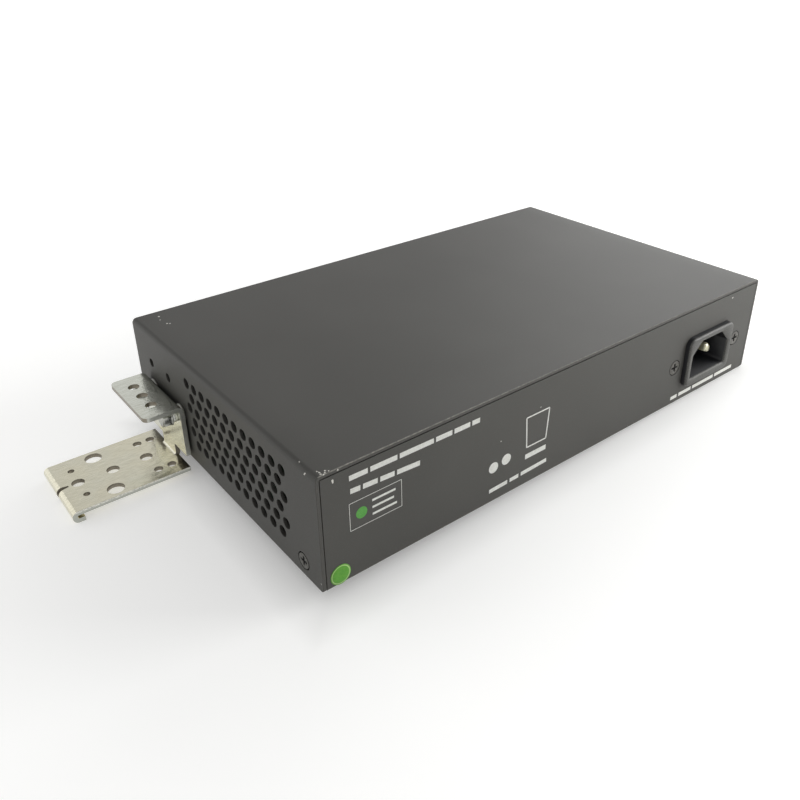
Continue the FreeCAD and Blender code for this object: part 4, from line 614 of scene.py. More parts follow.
leg_x = clip_high[0] - PLATE_REACH - CLIP_SHEET / 2
leg = leg_x + CLIP_SHEET / 2
flange_end = leg + CLIP_FLANGE_LENGTH
flange_run = flange_end - leg_x - CLIP_MIDDLE
clip_arc = CLIP_MIDDLE * math.pi / 2
flange_z = clip_high[2] - CLIP_SHEET / 2
leg_run = flange_z - PLATE_LEVEL - 2 * CLIP_MIDDLE
hook_arc = HOOK_MIDDLE * math.pi / 2
plate_run = clip_high[0] - CLIP_SHEET / 2 - HOOK_MIDDLE - leg_x - CLIP_MIDDLE
lip_run = HOOK_LIP + CLIP_SHEET / 2 - HOOK_MIDDLE
clip_runs = (
    (flange_run, 0.0),
    (clip_arc, 90.0),
    (leg_run, 0.0),
    (clip_arc, 90.0),
    (plate_run, 0.0),
    (hook_arc, -90.0),
    (HOOK_MOUTH_RUN, 0.0),
    (hook_arc, -90.0),
    (lip_run, 0.0),
)
ends = np.cumsum([length for length, turn in clip_runs])
plate_start = leg_x + CLIP_MIDDLE


def on_leg(rise):
    """Distance along the strip to a height on the leg."""
    return ends[1] + flange_z - CLIP_MIDDLE - rise


def on_plate(x):
    """Distance along the strip to a place on the plate."""
    return ends[3] + x - plate_start


wing_edge = on_leg(WING_RISE)
wing_start = on_plate(leg - WING_INNER)
slit_x = clip_high[0] - SLIT_ROOT[0]
slit_root = on_plate(slit_x)
strip_half = (clip_high[1] - clip_low[1]) / 2
out, pitch, *sizes = FLANGE_LINE
clip_holes = [hole(flange_end - leg - out, step * pitch, *sizes) for step in (-1, 0, 1)]
for side in (-1, 1):
    screw_u = on_leg(CLIP_SCREW_RISE)
    clip_holes.append(hole(screw_u, side * CLIP_SCREW_PITCH / 2, CLIP_SCREW_HOLE, LEG_HOLE_REACH))
    for out, aside, bore, reach in PLATE_PAIRS:
        clip_holes.append(hole(on_plate(leg + out), side * aside, bore, reach))
out, pitch, *sizes = PLATE_LINE
for step in range(3):
    clip_holes.append(hole(on_plate(leg + out + pitch * step), 0.0, *sizes))
clip_us = np.unique(np.concatenate([
    lines([0.0, FLANGE_ROUND, ends[0]], CLIP_CELL),
    np.linspace(ends[0], ends[1], 11),
    lines([ends[1], wing_edge, ends[2]], LEG_CELL),
    np.linspace(ends[2], ends[3], 11),
    lines([wing_start, ends[3]], NECK_CELL),
    lines([ends[3], slit_root, ends[4]], CLIP_CELL),
    np.linspace(ends[4], ends[5], 7),
    [ends[6]],
    np.linspace(ends[6], ends[7], 7),
    lines([ends[7], ends[8]], CLIP_CELL),
]).round(4))
neck = CLIP_NECK / 2
half_stops = [SLIT_ROOT[1] / 2, neck, neck + NECK_SLOT, strip_half - FLANGE_ROUND, strip_half]
clip_vs = lines(sorted([-stop for stop in half_stops] + half_stops), CLIP_CELL)
clip_cuts = [(slit_root, ends[8], -SLIT_ROOT[1] / 2, SLIT_ROOT[1] / 2)]
for side in (-1, 1):
    slot = sorted((side * neck, side * (neck + NECK_SLOT)))
    wing = sorted((side * neck, side * strip_half))
    clip_cuts += [(wing_edge, ends[3], *slot), (wing_edge, wing_start, *wing)]
clip_flat, clip_faces = blank(clip_us, clip_vs, clip_holes, clip_cuts)
clip_flat = nipped(clip_flat, (0.0,), (-strip_half, strip_half), FLANGE_ROUND)
run, across = clip_flat.T
clip_line = folded(run, (flange_end, flange_z), 180.0, clip_runs)
wings = (np.abs(across) > neck + NECK_SLOT / 2) & (run > wing_start - 0.01) & (run < ends[3])
clip_line[wings, 0] = plate_start - ends[3] + run[wings]
clip_line[wings, 1] = PLATE_LEVEL
opening = np.clip((clip_line[:, 0] - slit_x) / (SLIT_ROOT[0] - SLIT_MOUTH[0]), 0, None)
opening[run < slit_root - 0.01] = 0
half_slit = SLIT_ROOT[1] / 2 + opening * (SLIT_MOUTH[1] - SLIT_ROOT[1]) / 2
squeeze = (strip_half - half_slit) / (strip_half - SLIT_ROOT[1] / 2)
across = np.sign(across) * (half_slit + (np.abs(across) - SLIT_ROOT[1] / 2) * squeeze)
clip_points = np.stack([clip_line[:, 0], clip_y + across, clip_line[:, 1]], 1)
zinc_plate = zinc("zinc_plate")
clip = make("clip_strip", [(clip_points, [clip_faces])], zinc_plate, "zinc_steel", "rail_bracket")
clip.data.materials.append(sheared("zinc_shear"))
thicken(clip, CLIP_SHEET)
clip.modifiers["sheet"].material_offset_rim = 1
ease(clip, CLIP_EDGE)


# --------------------------------------------------------------- clip fixings
# Two cold-headed hexagon flange screws with a collar under each head and a ring between
# the leg and the case. They are turned and formed steel, plated bright, and the chamfer
# of the heads and the edge of the flanges catch the light.
HEX_FLATS = 5.5
HEX_HEIGHT = 3.0
HEAD_FLANGE = 6.3
HEAD_FLANGE_SHEET = 0.6
COLLAR_SIZE = 4.7
SHIM_SIZE = 7.0
THREAD = 3.0
STEEL_TONES = ("B9BAB6", "DDDCD5")
SCREW_PLATE = ("8B8C88", "BDBDB6")
# cells to the millimetre: 2 mm clouds and 0.2 mm turning marks
CLOUD_GRAIN = 0.5
TURNING_GRAIN = 5.0
AROUND = 72


def circles(stations, turn):
    """Loops about an axis: each is a place along it, and a radius or one for every angle."""
    loops = []
    for along, radius in stations:
        loops.append(np.stack([np.full(AROUND, along), radius * np.cos(turn), radius * np.sin(turn)], 1))
    return np.array(loops)


def turned(stations, origin, axis):
    """A turned piece along an axis, closed at both ends.

    A station is a place along the axis and a radius, or a place, a radius and the half
    width across the flats of a hexagon. At the angle t its radius is the smaller of the
    circle's and of half width / cos t', t' being t from the middle of the nearest flat.
    """
    off = (full_turn + math.pi / 6) % (math.pi / 3) - math.pi / 6
    rounds = []
    for along, radius, *flats in stations:
        rounds.append((along, np.minimum(radius, flats[0] / np.cos(off)) if flats else radius))
    return skinned(oriented(circles(rounds, full_turn), origin, axis))


def oriented(loops, origin, axis):
    """Set loops given as (along, side, up) at a place, along one of the object's level axes."""
    along = np.array(axis, float)
    side = np.cross((0.0, 0.0, 1.0), along)
    up = np.cross(along, side)
    return np.array(origin) + loops @ np.stack([along, side, up])


def skinned(loops, ring=False):
    """A closed skin over loops of points, whose ends close at their middles or on each other."""
    count, around = loops.shape[:2]
    number = np.arange(count * around).reshape(count, around)
    first = number if ring else number[:-1]
    second = np.roll(number, -1, 0) if ring else number[1:]
    quads = np.stack([first, np.roll(first, -1, 1), np.roll(second, -1, 1), second], -1).reshape(-1, 4)
    points = loops.reshape(-1, 3)
    if ring:
        return points, [quads]
    near, far = number[0], number[-1]
    low = np.stack([np.full(around, len(points)), np.roll(near, -1), near], -1)
    high = np.stack([far, np.roll(far, -1), np.full(around, len(points) + 1)], -1)
    return np.concatenate([points, loops[[0, -1]].mean(1)]), [quads, low, high]


def plated(name, tones, rough, wear):
    """Plated steel: cloudy brightness, fine turning marks and slightly dulled high spots."""
    material, tree, place, cloud, colour = clouded(name, tones, CLOUD_GRAIN, 4.0, 0.6)
    fine = add(tree, "TexNoise", {"Vector": place, "Scale": TURNING_GRAIN, "Detail": 3.0, "Roughness": 0.7})
    finish(tree, colour, fine, (rough, rough + 0.14), fine, wear, 0.03, Metallic=1.0)
    return material


full_turn = np.linspace(0, 2 * math.pi, AROUND, endpoint=False)
bright_steel = plated("bright_steel", STEEL_TONES, 0.22, 0.5)
screws_low, screws_high = span("bracket_screws")
collars_low, collars_high = span("bracket_collars")
shims_low, shims_high = span("bracket_shims")
head = collars_high[0]
hex_half = HEX_FLATS / 2
hex_top = HEAD_FLANGE_SHEET + HEX_HEIGHT
shank = head - screws_low[0]
screw_stations = (
    (-shank, THREAD / 2 - 0.3),
    (-shank + 0.3, THREAD / 2),
    (-0.02, THREAD / 2),
    (0.0, HEAD_FLANGE / 2 - 0.2),
    (0.1, HEAD_FLANGE / 2),
    (HEAD_FLANGE_SHEET - 0.2, HEAD_FLANGE / 2),
    (HEAD_FLANGE_SHEET, HEAD_FLANGE / 2 - 0.2),
    (HEAD_FLANGE_SHEET + 0.06, hex_half * 1.1, hex_half),
    (HEAD_FLANGE_SHEET + 0.2, hex_half * 1.16, hex_half),
    (hex_top - 0.5, hex_half * 1.16, hex_half),
    (hex_top - 0.22, hex_half * 1.02, hex_half - 0.02),
    (hex_top - 0.05, hex_half * 0.9),
    (hex_top, hex_half * 0.84),
    (hex_top, hex_half * 0.7),
    (hex_top - 0.25, hex_half * 0.6),
    (hex_top - 0.32, hex_half * 0.4),
)
clip_screw_skins = [turned(screw_stations, (head, across, CLIP_SCREW_RISE), (1, 0, 0))
                    for across in clip_screw_y]
screw_plate = plated("screw_plate", SCREW_PLATE, 0.18, 0.5)
make("clip_screw_set", clip_screw_skins, screw_plate, "bright_steel", "bracket_screws")
bore = CLIP_SCREW_HOLE / 2
for name, size, low, high, node in (
    ("clip_collar_set", COLLAR_SIZE, collars_low[0], collars_high[0], "bracket_collars"),
    ("clip_shim_set", SHIM_SIZE, shims_low[0], shims_high[0], "bracket_shims"),
):
    thick = high - low
    outer = size / 2
    section = ((0.0, outer - 0.15), (0.15, outer), (thick - 0.15, outer), (thick, outer - 0.15),
               (thick, bore + 0.1), (thick - 0.1, bore), (0.1, bore), (0.0, bore + 0.1))
    loops = circles(section, full_turn)
    rings = [skinned(oriented(loops, (low, across, CLIP_SCREW_RISE), (1, 0, 0)), ring=True)
             for across in clip_screw_y]
    make(name, rings, bright_steel, "bright_steel", node)


# ---------------------------------------------------------- countersunk screws
# Four screws close the cover and two hold the inlet. Their flat heads sit flush in dimpled
# seats, are painted with the case, and have a cross recess whose walls slope in. A thin
# gap is left around each head, and the recess and the head's edge down into that gap carry
# painted shade.
COVER_HEAD = 5.2
INLET_HEAD = 5.7
COVER_SCREW_REACH = 4.2
INLET_SCREW_REACH = 8.6
CROSS_DEPTH = 1.3
CROSS_TURN = 0.4
# cells to the millimetre, for a 0.9 mm grain in the paint
PAINT_GRAIN = 1.1
SCREW_TONES = ("4A4843", "65635D")
# painted shade in the cross recess and on the head's edge below the flush face
RECESS_SHADE = "11110F"


def cross_head(origin, axis, head, reach):
    """A countersunk screw from its tip to the floor of its cross recess.

    The recess is a cross whose radius at the angle t from its nearest arm is the smaller
    of the arm's length / cos t and half the arm's width / sin t.
    """
    turn = full_turn + CROSS_TURN
    off = np.abs((turn + math.pi / 4) % (math.pi / 2) - math.pi / 4)
    arm = head * 0.3
    width = head * 0.085
    cross = np.minimum(arm / np.cos(off), width / np.maximum(np.sin(off), 1e-6))
    cone = (head - THREAD) / 2
    stations = (
        (-reach, THREAD / 2 - 0.3),
        (-reach + 0.3, THREAD / 2),
        (-cone, THREAD / 2),
        (-0.15, head / 2 - 0.05),
        (-0.03, head / 2 - 0.02),
        (0.0, head / 2 - 0.12),
        (-0.02, cross * 1.25),
        (-0.04, cross * 1.12),
        (-0.16, cross),
        (-CROSS_DEPTH, cross * 0.55),
    )
    return skinned(oriented(circles(stations, turn), origin, axis))


def painted_screw(name):
    """Dark paint over a screw's face, full of fine grain, and painted shade in the recess and down the head's
    edge into the seat.
    """
    material, tree, place, cloud, colour = clouded(name, SCREW_TONES, PAINT_GRAIN, 4.0, 0.7)
    side = add(tree, "SeparateXYZ", {0: place}, out="X")
    side = add(tree, "Math", {0: side}, operation="ABSOLUTE")
    rear = add(tree, "SeparateXYZ", {0: place}, out="Y")
    # painted shade: darker below the flush face, in the recess and down the head's edge
    sunk = 1.0
    for out, flush in ((side, cover_high[0]), (rear, tray_high[1])):
        under = add(tree, "MapRange", {0: out, 1: flush - 0.06, 2: flush - 0.2})
        sunk = add(tree, "Math", {0: under, 1: sunk}, operation="MULTIPLY")
    colour = add(tree, "Mix", {0: sunk, 6: colour, 7: linear(RECESS_SHADE)}, **TINT)
    finish(tree, colour, cloud, (0.34, 0.5), cloud, 0.4, 0.04, Metallic=0.25)
    return material


screw_paint = painted_screw("screw_paint")
cover_screw_skins = []
inlet_screw_skins = []
for side in (-1, 1):
    for across in seat_y:
        spot = (side * cover_high[0], across, SEAT_RISE)
        cover_screw_skins.append(cross_head(spot, (side, 0, 0), COVER_HEAD, COVER_SCREW_REACH))
    spot = (INLET_X + side * INLET_SCREW_PITCH / 2, tray_high[1], INLET_RISE)
    inlet_screw_skins.append(cross_head(spot, (0, 1, 0), INLET_HEAD, INLET_SCREW_REACH))
make("cover_screw_set", cover_screw_skins, screw_paint, "painted_steel", "cover_screws")
make("inlet_screw_set", inlet_screw_skins, screw_paint, "painted_steel", "inlet_screws")


# ----------------------------------------------------------------- mains inlet
# An injection-moulded appliance inlet in black plastic: a raised frame with rounded
# corners, a flange behind the panel and a body around the cavity, whose two upper
# corners are bevelled so that the plug goes in one way.
FRAME_SIZE = (28.6, 20.6, 3.0)
FLANGE_SIZE = (49.0, 20.6, 0.6)
BODY_SIZE = (27.0, 19.0, 0.8)
MOUTH_SIZE = (23.2, 15.1, 1.1)
MOUTH_SHIFT = (0.4, 0.5)
MOUTH_BEVEL = 5.0
FRAME_ROUND = 0.9
MOUTH_LIP = 0.25
MOUTH_DEPTH = 16.5
FLANGE_SHEET = 3.0
PER_SIDE = 36
INLET_TONES = ("454542", "51514D")
# painted shade far inside the inlet's cavity
CAVITY_SHADE = "1C1D20"
INLET_RUBBED = "9A988F"
# cells to the millimetre, for a 0.3 mm eroded grain and an 8 mm drift
INLET_GRAIN = 3.2
INLET_EDGE = 0.12
PLASTIC_DRIFT = 0.12


def rounded(size, bevel=0.0):
    """A rounded rectangle as a loop of points, from the border of a square.

    A border point is scaled to the rectangle and moved onto the arc about the nearest
    point of the rectangle less its corner radius. With a bevel, the points of the two
    upper corners are then drawn in to the line where across and up add to the same sum.
    """
    ramp = np.linspace(-1, 1, PER_SIDE, endpoint=False)
    ones = np.ones(PER_SIDE)
    border = np.concatenate([
        np.stack([ramp, -ones], 1),
        np.stack([ones, ramp], 1),
        np.stack([-ramp, ones], 1),
        np.stack([-ones, -ramp], 1),
    ])
    half = np.array(size[:2]) / 2
    spot = border * half
    core = np.clip(spot, size[2] - half, half - size[2])
    arc = spot - core
    arc *= size[2] / np.linalg.norm(arc, axis=1, keepdims=True)
    spot = core + arc
    total = np.abs(spot[:, 0]) + spot[:, 1]
    limit = half.sum() - bevel
    return spot * np.where((bevel > 0) & (total > limit), limit / np.maximum(total, 1e-6), 1.0)[:, None]


def framed(spot, place, shift=(0.0, 0.0)):
    """A loop set upright about the inlet's middle, at a place along the case's depth."""
    spot = spot + (INLET_X + shift[0], INLET_RISE + shift[1])
    return np.insert(spot, 1, place, axis=1)


def moulded(name, tones, rough, grain_scale, rubbed=None, cavity=None):
    """Moulded plastic with a spark-eroded grain, rubbed pale where asked, and painted shade far into its
    cavity where asked.
    """
    material, tree, place, cloud, colour = clouded(name, tones, PLASTIC_DRIFT, 3.0)
    grain = add(tree, "TexNoise", {"Vector": place, "Scale": grain_scale, "Detail": 3.0, "Roughness": 0.7})
    if rubbed:
        fleck = add(tree, "MapRange", {0: grain, 1: 0.56, 2: 0.66, 4: 0.55})
        colour = add(tree, "Mix", {0: fleck, 6: colour, 7: linear(rubbed)}, **TINT)
    if cavity:
        # painted shade: darker the further a surface lies into the cavity
        depth = add(tree, "SeparateXYZ", {0: place}, out="Y")
        painted_cavity_shade = add(tree, "MapRange", {0: depth, 1: face - 0.5, 2: face - 0.9})
        colour = add(tree, "Mix", {0: painted_cavity_shade, 6: colour, 7: linear(cavity)}, **TINT)
    finish(tree, colour, grain, (rough, rough + 0.12), grain, 0.5, 0.04)
    return material


inlet_low, inlet_high = span("inlet_housing")
panel_back = tray_high[1] - TRAY_SHEET
flange_back = panel_back - FLANGE_SHEET
face = inlet_high[1]
inlet_loops = [
    framed(rounded(BODY_SIZE), inlet_low[1]),
    framed(rounded(BODY_SIZE), flange_back),
    framed(rounded(FLANGE_SIZE), flange_back),
    framed(rounded(FLANGE_SIZE), panel_back),
    framed(rounded(FRAME_SIZE), panel_back),
]
for turn in np.linspace(0, math.pi / 2, 6):
    inset = FRAME_ROUND * (1 - math.cos(turn))
    size = (FRAME_SIZE[0] - 2 * inset, FRAME_SIZE[1] - 2 * inset, FRAME_SIZE[2] - inset)
    inlet_loops.append(framed(rounded(size), face - FRAME_ROUND * (1 - math.sin(turn))))
lip_size = (MOUTH_SIZE[0] + 2 * MOUTH_LIP, MOUTH_SIZE[1] + 2 * MOUTH_LIP, MOUTH_SIZE[2] + MOUTH_LIP)
mouth = rounded(MOUTH_SIZE, MOUTH_BEVEL)
inlet_loops += [
    framed(rounded(lip_size, MOUTH_BEVEL), face, MOUTH_SHIFT),
    framed(mouth, face - MOUTH_LIP, MOUTH_SHIFT),
    framed(mouth, face - MOUTH_DEPTH, MOUTH_SHIFT),
]
inlet_plastic = moulded("inlet_plastic", INLET_TONES, 0.42, INLET_GRAIN, INLET_RUBBED, CAVITY_SHADE)
inlet_points, inlet_blocks = skinned(np.array(inlet_loops))
inlet = make("inlet_moulding", [(inlet_points, [block[:, ::-1] for block in inlet_blocks])],
             inlet_plastic, "black_plastic", "inlet_housing")
ease(inlet, INLET_EDGE, limit=50)


# ------------------------------------------------------------- inlet's blades
# Three flat contact blades stamped from brass and nickel-plated, their tips chamfered on
# all sides so that a plug slides on, and their tails bent down into the board. Two stand
# low and level; the earth stands above them, and further out, so that it meets first.
BLADE = (2.0, 3.2, 0.25)
BLADE_PITCH = 14.0
BLADE_TAIL = (2.0, 1.0, 0.2)
EARTH_LEAD = -0.2
LIVE_SETBACK = 3.4
LIVE_DROP = 2.0
EARTH_RISE = 2.0
BLADE_TIP = ((1.2, 0.0), (0.3, 0.3), (0.0, 0.8))
BLADE_TONES = ("B9B69C", "DEDCC6")

pins_low, pins_high = span("inlet_pins")
blade_skins = []
for blade_x, blade_z, lead in (
    (-BLADE_PITCH / 2, -LIVE_DROP, -LIVE_SETBACK),
    (0.0, EARTH_RISE, EARTH_LEAD),
    (BLADE_PITCH / 2, -LIVE_DROP, -LIVE_SETBACK),
):
    centre = (blade_x + MOUTH_SHIFT[0], blade_z + MOUTH_SHIFT[1])
    tip = pins_high[1] + lead
    loops = [framed(rounded(BLADE), pins_low[1], centre)]
    for back, shrink in BLADE_TIP:
        section = rounded((BLADE[0] - shrink, BLADE[1] - shrink * 1.4, BLADE[2]))
        loops.append(framed(section, tip - back, centre))
    points, blocks = skinned(np.array(loops))
    blade_skins.append((points, [block[:, ::-1] for block in blocks]))
    tail = rounded(BLADE_TAIL) + (INLET_X + centre[0], pins_low[1] + BLADE_TAIL[1] / 2)
    tops = (pins_low[2], INLET_RISE + blade_z)
    blade_skins.append(skinned(np.array([np.insert(tail, 2, top, axis=1) for top in tops])))
blade_metal = plated("blade_plate", BLADE_TONES, 0.42, 0.3)
make("inlet_blades", blade_skins, blade_metal, "pin_brass", "inlet_pins")


# ------------------------------------------------------------ sticker and print
# A round green paper sticker with a pale ring low on the rear panel, and white silk-screen
# print: bars where words would be, a thin box with a plain green field, two discs, an
# empty outline and a bar. The ink lies a few hundredths of a millimetre proud.
STICKER_GREEN = ("4E9A22", "66AB34")
STICKER_RIM = "B5D58A"
STICKER_SHARE = 0.84
STICKER_DROP = 0.6
RING_INNER = (0.62, 0.5)
RING_OUTER = (0.34, 0.22)
INK_WHITE = ("D9D9D2", "F1F1EC")
INK_GREEN = ("4C9A3C", "63AE50")
INK = 0.03
# cells to the millimetre, for a 0.7 mm tooth
INK_GRAIN = 1.4
WORD_GAP = 0.55
# each line of words: where it starts and ends (x, z), its height and its words' lengths
WORD_LINES = (
    ((94.5, 35.0), (46.7, 34.4), 1.7, (4, 6, 8, 4, 4, 2)),
    ((94.3, 30.6), (70.0, 29.2), 1.7, (2, 3, 3, 5)),
    ((41.5, 4.9), (15.1, 5.7), 1.5, (4, 2, 6)),
    ((-54.9, 3.0), (-96.4, 3.2), 1.5, (2, 4, 7, 6)),
)
BOX = ((94.9, 17.1), (76.8, 17.1), (76.8, 26.5), (94.9, 26.5))
BOX_LINE = 0.16
BOX_BARS = ((87.2, 24.2, 8.2), (87.2, 21.8, 7.6), (87.2, 19.4, 8.6))
BOX_BAR_HEIGHT = 0.75
BOX_DISC = ((90.9, 21.8), 1.9)
DISCS = ((40.0, 13.7), (34.4, 14.5))
DISC_RADIUS = 2.0
FIGURE = ((25.2, 15.0), (16.2, 15.0), (15.4, 26.6), (26.0, 26.6))
FIGURE_LINE = 0.5
FIGURE_BAR = ((25.6, 11.4), (15.9, 11.4), 1.9)
DISC_POINTS = 40

sticker_low, sticker_high = span("rear_sticker")
sticker_middle = (sticker_low + sticker_high) / 2
sticker_radius = (sticker_high[0] - sticker_low[0]) / 2 * STICKER_SHARE
sticker_middle[2] -= STICKER_DROP
sticker_thick = sticker_high[1] - sticker_low[1]


def ink(name, tones, rough, rim=None):
    """Screen ink or printed paper: an uneven tone, a fine tooth, and a pale rim where asked."""
    material, tree, place, cloud, colour = clouded(name, tones, INK_GRAIN, 5.0, 0.7, (0.3, 0.7))
    if rim:
        away = add(tree, "VectorMath", {0: place, 1: sticker_middle.tolist()}, out=1, operation="DISTANCE")
        within, beyond = (add(tree, "MapRange", {0: away, 1: sticker_radius - near, 2: sticker_radius - far})
                          for near, far in (RING_INNER, RING_OUTER[::-1]))
        ring = add(tree, "Math", {0: within, 1: beyond}, operation="MULTIPLY")
        colour = add(tree, "Mix", {0: ring, 6: colour, 7: linear(rim)}, **TINT)
    finish(tree, colour, cloud, (rough, rough + 0.12), cloud, 0.3, 0.02)
    return material


sticker_stations = (
    (0.0, sticker_radius - 0.05),
    (0.02, sticker_radius),
    (sticker_thick - 0.04, sticker_radius),
    (sticker_thick, sticker_radius - 0.06),
    (sticker_thick, sticker_radius * 0.5),
)
sticker_spot = (sticker_middle[0], sticker_low[1], sticker_middle[2])
sticker_paper = ink("sticker_paper", STICKER_GREEN, 0.38, STICKER_RIM)
make("sticker_disc", [turned(sticker_stations, sticker_spot, (0, 1, 0))], sticker_paper, "green_paper",
     "rear_sticker")


def slab(corners):
    """A thin flat field of ink on the rear panel, from its corners (x, z) in order."""
    corners = np.array(corners, float)
    if np.cross(corners[1] - corners[0], corners[2] - corners[0]) > 0:
        corners = corners[::-1]
    loops = [np.insert(corners, 1, tray_high[1] + lift, axis=1) for lift in (0.0, INK)]
    return skinned(np.array(loops))


def stroke(start, end, width):
    """A straight bar of ink between two points."""
    start, end = np.array(start, float), np.array(end, float)
    across = np.array([start[1] - end[1], end[0] - start[0]])
    across *= width / 2 / np.linalg.norm(across)
    return slab([start - across, end - across, end + across, start + across])


def words(start, end, height, shares):
    """Bars in place of a line of words, with gaps between them."""
    start, end = np.array(start, float), np.array(end, float)
    bars = []
    total = sum(shares) + WORD_GAP * (len(shares) - 1)
    done = 0.0
    for share in shares:
        near, far = (start + (end - start) * reach / total for reach in (done, done + share))
        bars.append(stroke(near, far, height))
        done += share + WORD_GAP
    return bars


def outline(corners, width):
    """A closed outline of ink bars."""
    return [stroke(corners[step - 1], corners[step], width) for step in range(len(corners))]


def disc(middle, radius):
    """A round field of ink."""
    turn = np.linspace(0, 2 * math.pi, DISC_POINTS, endpoint=False)
    return slab(np.stack([middle[0] + radius * np.cos(turn), middle[1] + radius * np.sin(turn)], 1))


white_print = []
for line in WORD_LINES:
    white_print += words(*line)
white_print += outline(BOX, BOX_LINE)
for x, z, width in BOX_BARS:
    white_print.append(stroke((x, z), (x - width, z), BOX_BAR_HEIGHT))
for middle in DISCS:
    white_print.append(disc(middle, DISC_RADIUS))
white_print += outline(FIGURE, FIGURE_LINE)
white_print.append(stroke(*FIGURE_BAR))
for name, skins, material in (
    ("rear_print", white_print, ink("white_ink", INK_WHITE, 0.5)),
    ("rear_print_field", [disc(*BOX_DISC)], ink("green_ink", INK_GREEN, 0.5)),
):
    make(name, skins, material, "painted_steel").data.shade_flat()


# --------------------------------------------------------- sockets and lights
# The socket row is one black moulding in a folded tin-plated shield, with gold-plated
# contact wires in each cavity. The lights are clear plastic bars in a black holder, and
# a plastic pin strip joins the two boards.
SOCKET_TONES = ("1B1C1D", "262728")
TIN_TONES = ("A9ABA8", "CFD0CC")
GOLD_TONES = ("C9A24A", "E6C873")
LENS_TONES = ("C9CFC6", "EEF2EA")
SOCKET_GRAIN = 4.0
SOCKET_EDGE = 0.15


def dress(material, *nodes):
    """Give nodes that keep their own shape a better material."""
    for name in nodes:
        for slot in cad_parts[name].material_slots:
            slot.material = material


def clear(name, tones, grain, rough, index, share):
    """Clear plastic or glass with a faint drift of tone, passing on a share of the light."""
    material, tree, place, cloud, tone = clouded(name, tones, grain, ends=(0.0, 1.0))
    gloss = add(tree, "MapRange", {0: cloud, 1: 0.3, 2: 0.7, 3: rough[0], 4: rough[1]})
    shade(tree, {"Base Color": tone, "Roughness": gloss, "IOR": index, "Transmission Weight": share})
    return material


socket_plastic = moulded("socket_plastic", SOCKET_TONES, 0.38, SOCKET_GRAIN)
dress(socket_plastic, "socket_housing", "light_holder", "board_link")
ease(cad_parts["socket_housing"], SOCKET_EDGE, limit=60)
tin = plated("tin_plate", TIN_TONES, 0.24, 0.25)
dress(tin, "socket_shield", "fuse_clips")
dress(plated("gold_plate", GOLD_TONES, 0.18, 0.2), "socket_contacts")
dress(clear("light_lens", LENS_TONES, 0.8, (0.12, 0.24), 1.49, 0.6), "status_lights")


# ------------------------------------------------------- boards and their parts
# The boards are glass-epoxy under a green solder mask, and carry moulded chips, ferrite
# cores, sleeved capacitors, a taped winding, extruded and sheet aluminium heat sinks and
# a glass fuse. They are seen only through the vents and windows.
MASK_TONES = ("16361F", "1E4828")
COPPER_TONE = "2A5C36"
# cells to the millimetre, for a 3 mm weave and tracks a millimetre apart
MASK_GRAIN = 0.3
TRACK_GRAIN = 0.35
CHIP_TONES = ("1A1A1B", "232324")
FERRITE_TONES = ("26262A", "34343A")
TAPE_TONES = ("B98A1E", "D6A83A")
FILM_TONES = ("C9A21B", "DDBA34")
SLEEVE_TONES = ("14181E", "1F262F")
ALUMINIUM_TONES = ("A5A8AA", "CBCDCE")
GLASS_TONES = ("D8E2DC", "F2F7F3")


def solder_mask(name):
    """Green solder mask over a weave of glass, with a brick pattern of copper tracks under it."""
    material, tree, place, weave, tone = clouded(name, MASK_TONES, MASK_GRAIN, 4.0, ends=(0.0, 1.0))
    tracks = add(tree, "TexBrick", {"Vector": place, "Scale": TRACK_GRAIN, "Mortar Size": 0.06,
                                    "Brick Width": 2.2, "Row Height": 0.35}, out=1)
    colour = add(tree, "Mix", {0: tracks, 6: tone, 7: linear(COPPER_TONE)}, **TINT)
    finish(tree, colour, weave, (0.25, 0.4), tracks, 0.4, 0.03)
    return material


dress(solder_mask("solder_mask"), "main_board", "power_board")
for name, tones, rough, grain, nodes in (
    ("chip_epoxy", CHIP_TONES, 0.5, 6.0, ("line_transformers", "switch_chip", "power_transistor")),
    ("ferrite", FERRITE_TONES, 0.6, 2.0, ("line_choke", "transformer_core")),
    ("winding_tape", TAPE_TONES, 0.3, 1.0, ("transformer_winding",)),
    ("film_case", FILM_TONES, 0.35, 3.0, ("filter_capacitor",)),
    ("capacitor_sleeve", SLEEVE_TONES, 0.28, 2.0, ("bulk_capacitor", "output_capacitors")),
):
    dress(moulded(name, tones, rough, grain), *nodes)
dress(plated("mill_aluminium", ALUMINIUM_TONES, 0.34, 0.4), "chip_heat_sink", "power_heat_sink")
dress(bright_steel, "clinch_nuts", "inlet_nuts", "main_board_posts", "main_board_screws", "power_board_posts",
      "power_board_screws")
dress(clear("fuse_glass", GLASS_TONES, 0.6, (0.03, 0.08), 1.5, 0.9), "fuse")


# ---------------------------------------------------- floor, lights and camera
# The switch stands on its hook and its far lower edge, so the pale floor is tilted to meet
# both. Soft boxes stand low on the clip's side, high over the far end and behind the inlet,
# and a dark flag keeps glare off the long bend. The floor's white grows with distance: its
# glow is held low under and beside the case, a painted shade there.
FLOOR_SIZE = 12000.0
FLOOR_SLIP = 0.02
HOOK_INSET = 4.0
FLOOR_TONE = "E9E9E7"
# distance past the case and the strength of the glow there; the low glow near the case is painted shade
FLOOR_GLOW = ((-20.0, 0.0), (12.0, 0.42), (250.0, 0.55), (1200.0, 0.9))
WHITE = (1.0, 1.0, 1.0, 1.0)
AMBIENT = 0.42
SKY_TOP = 0.48
FLAG = (0.644, -0.661, 0.385)
FLAG_EDGE = (0.8, 0.93)
FLAG_TONE = 0.12
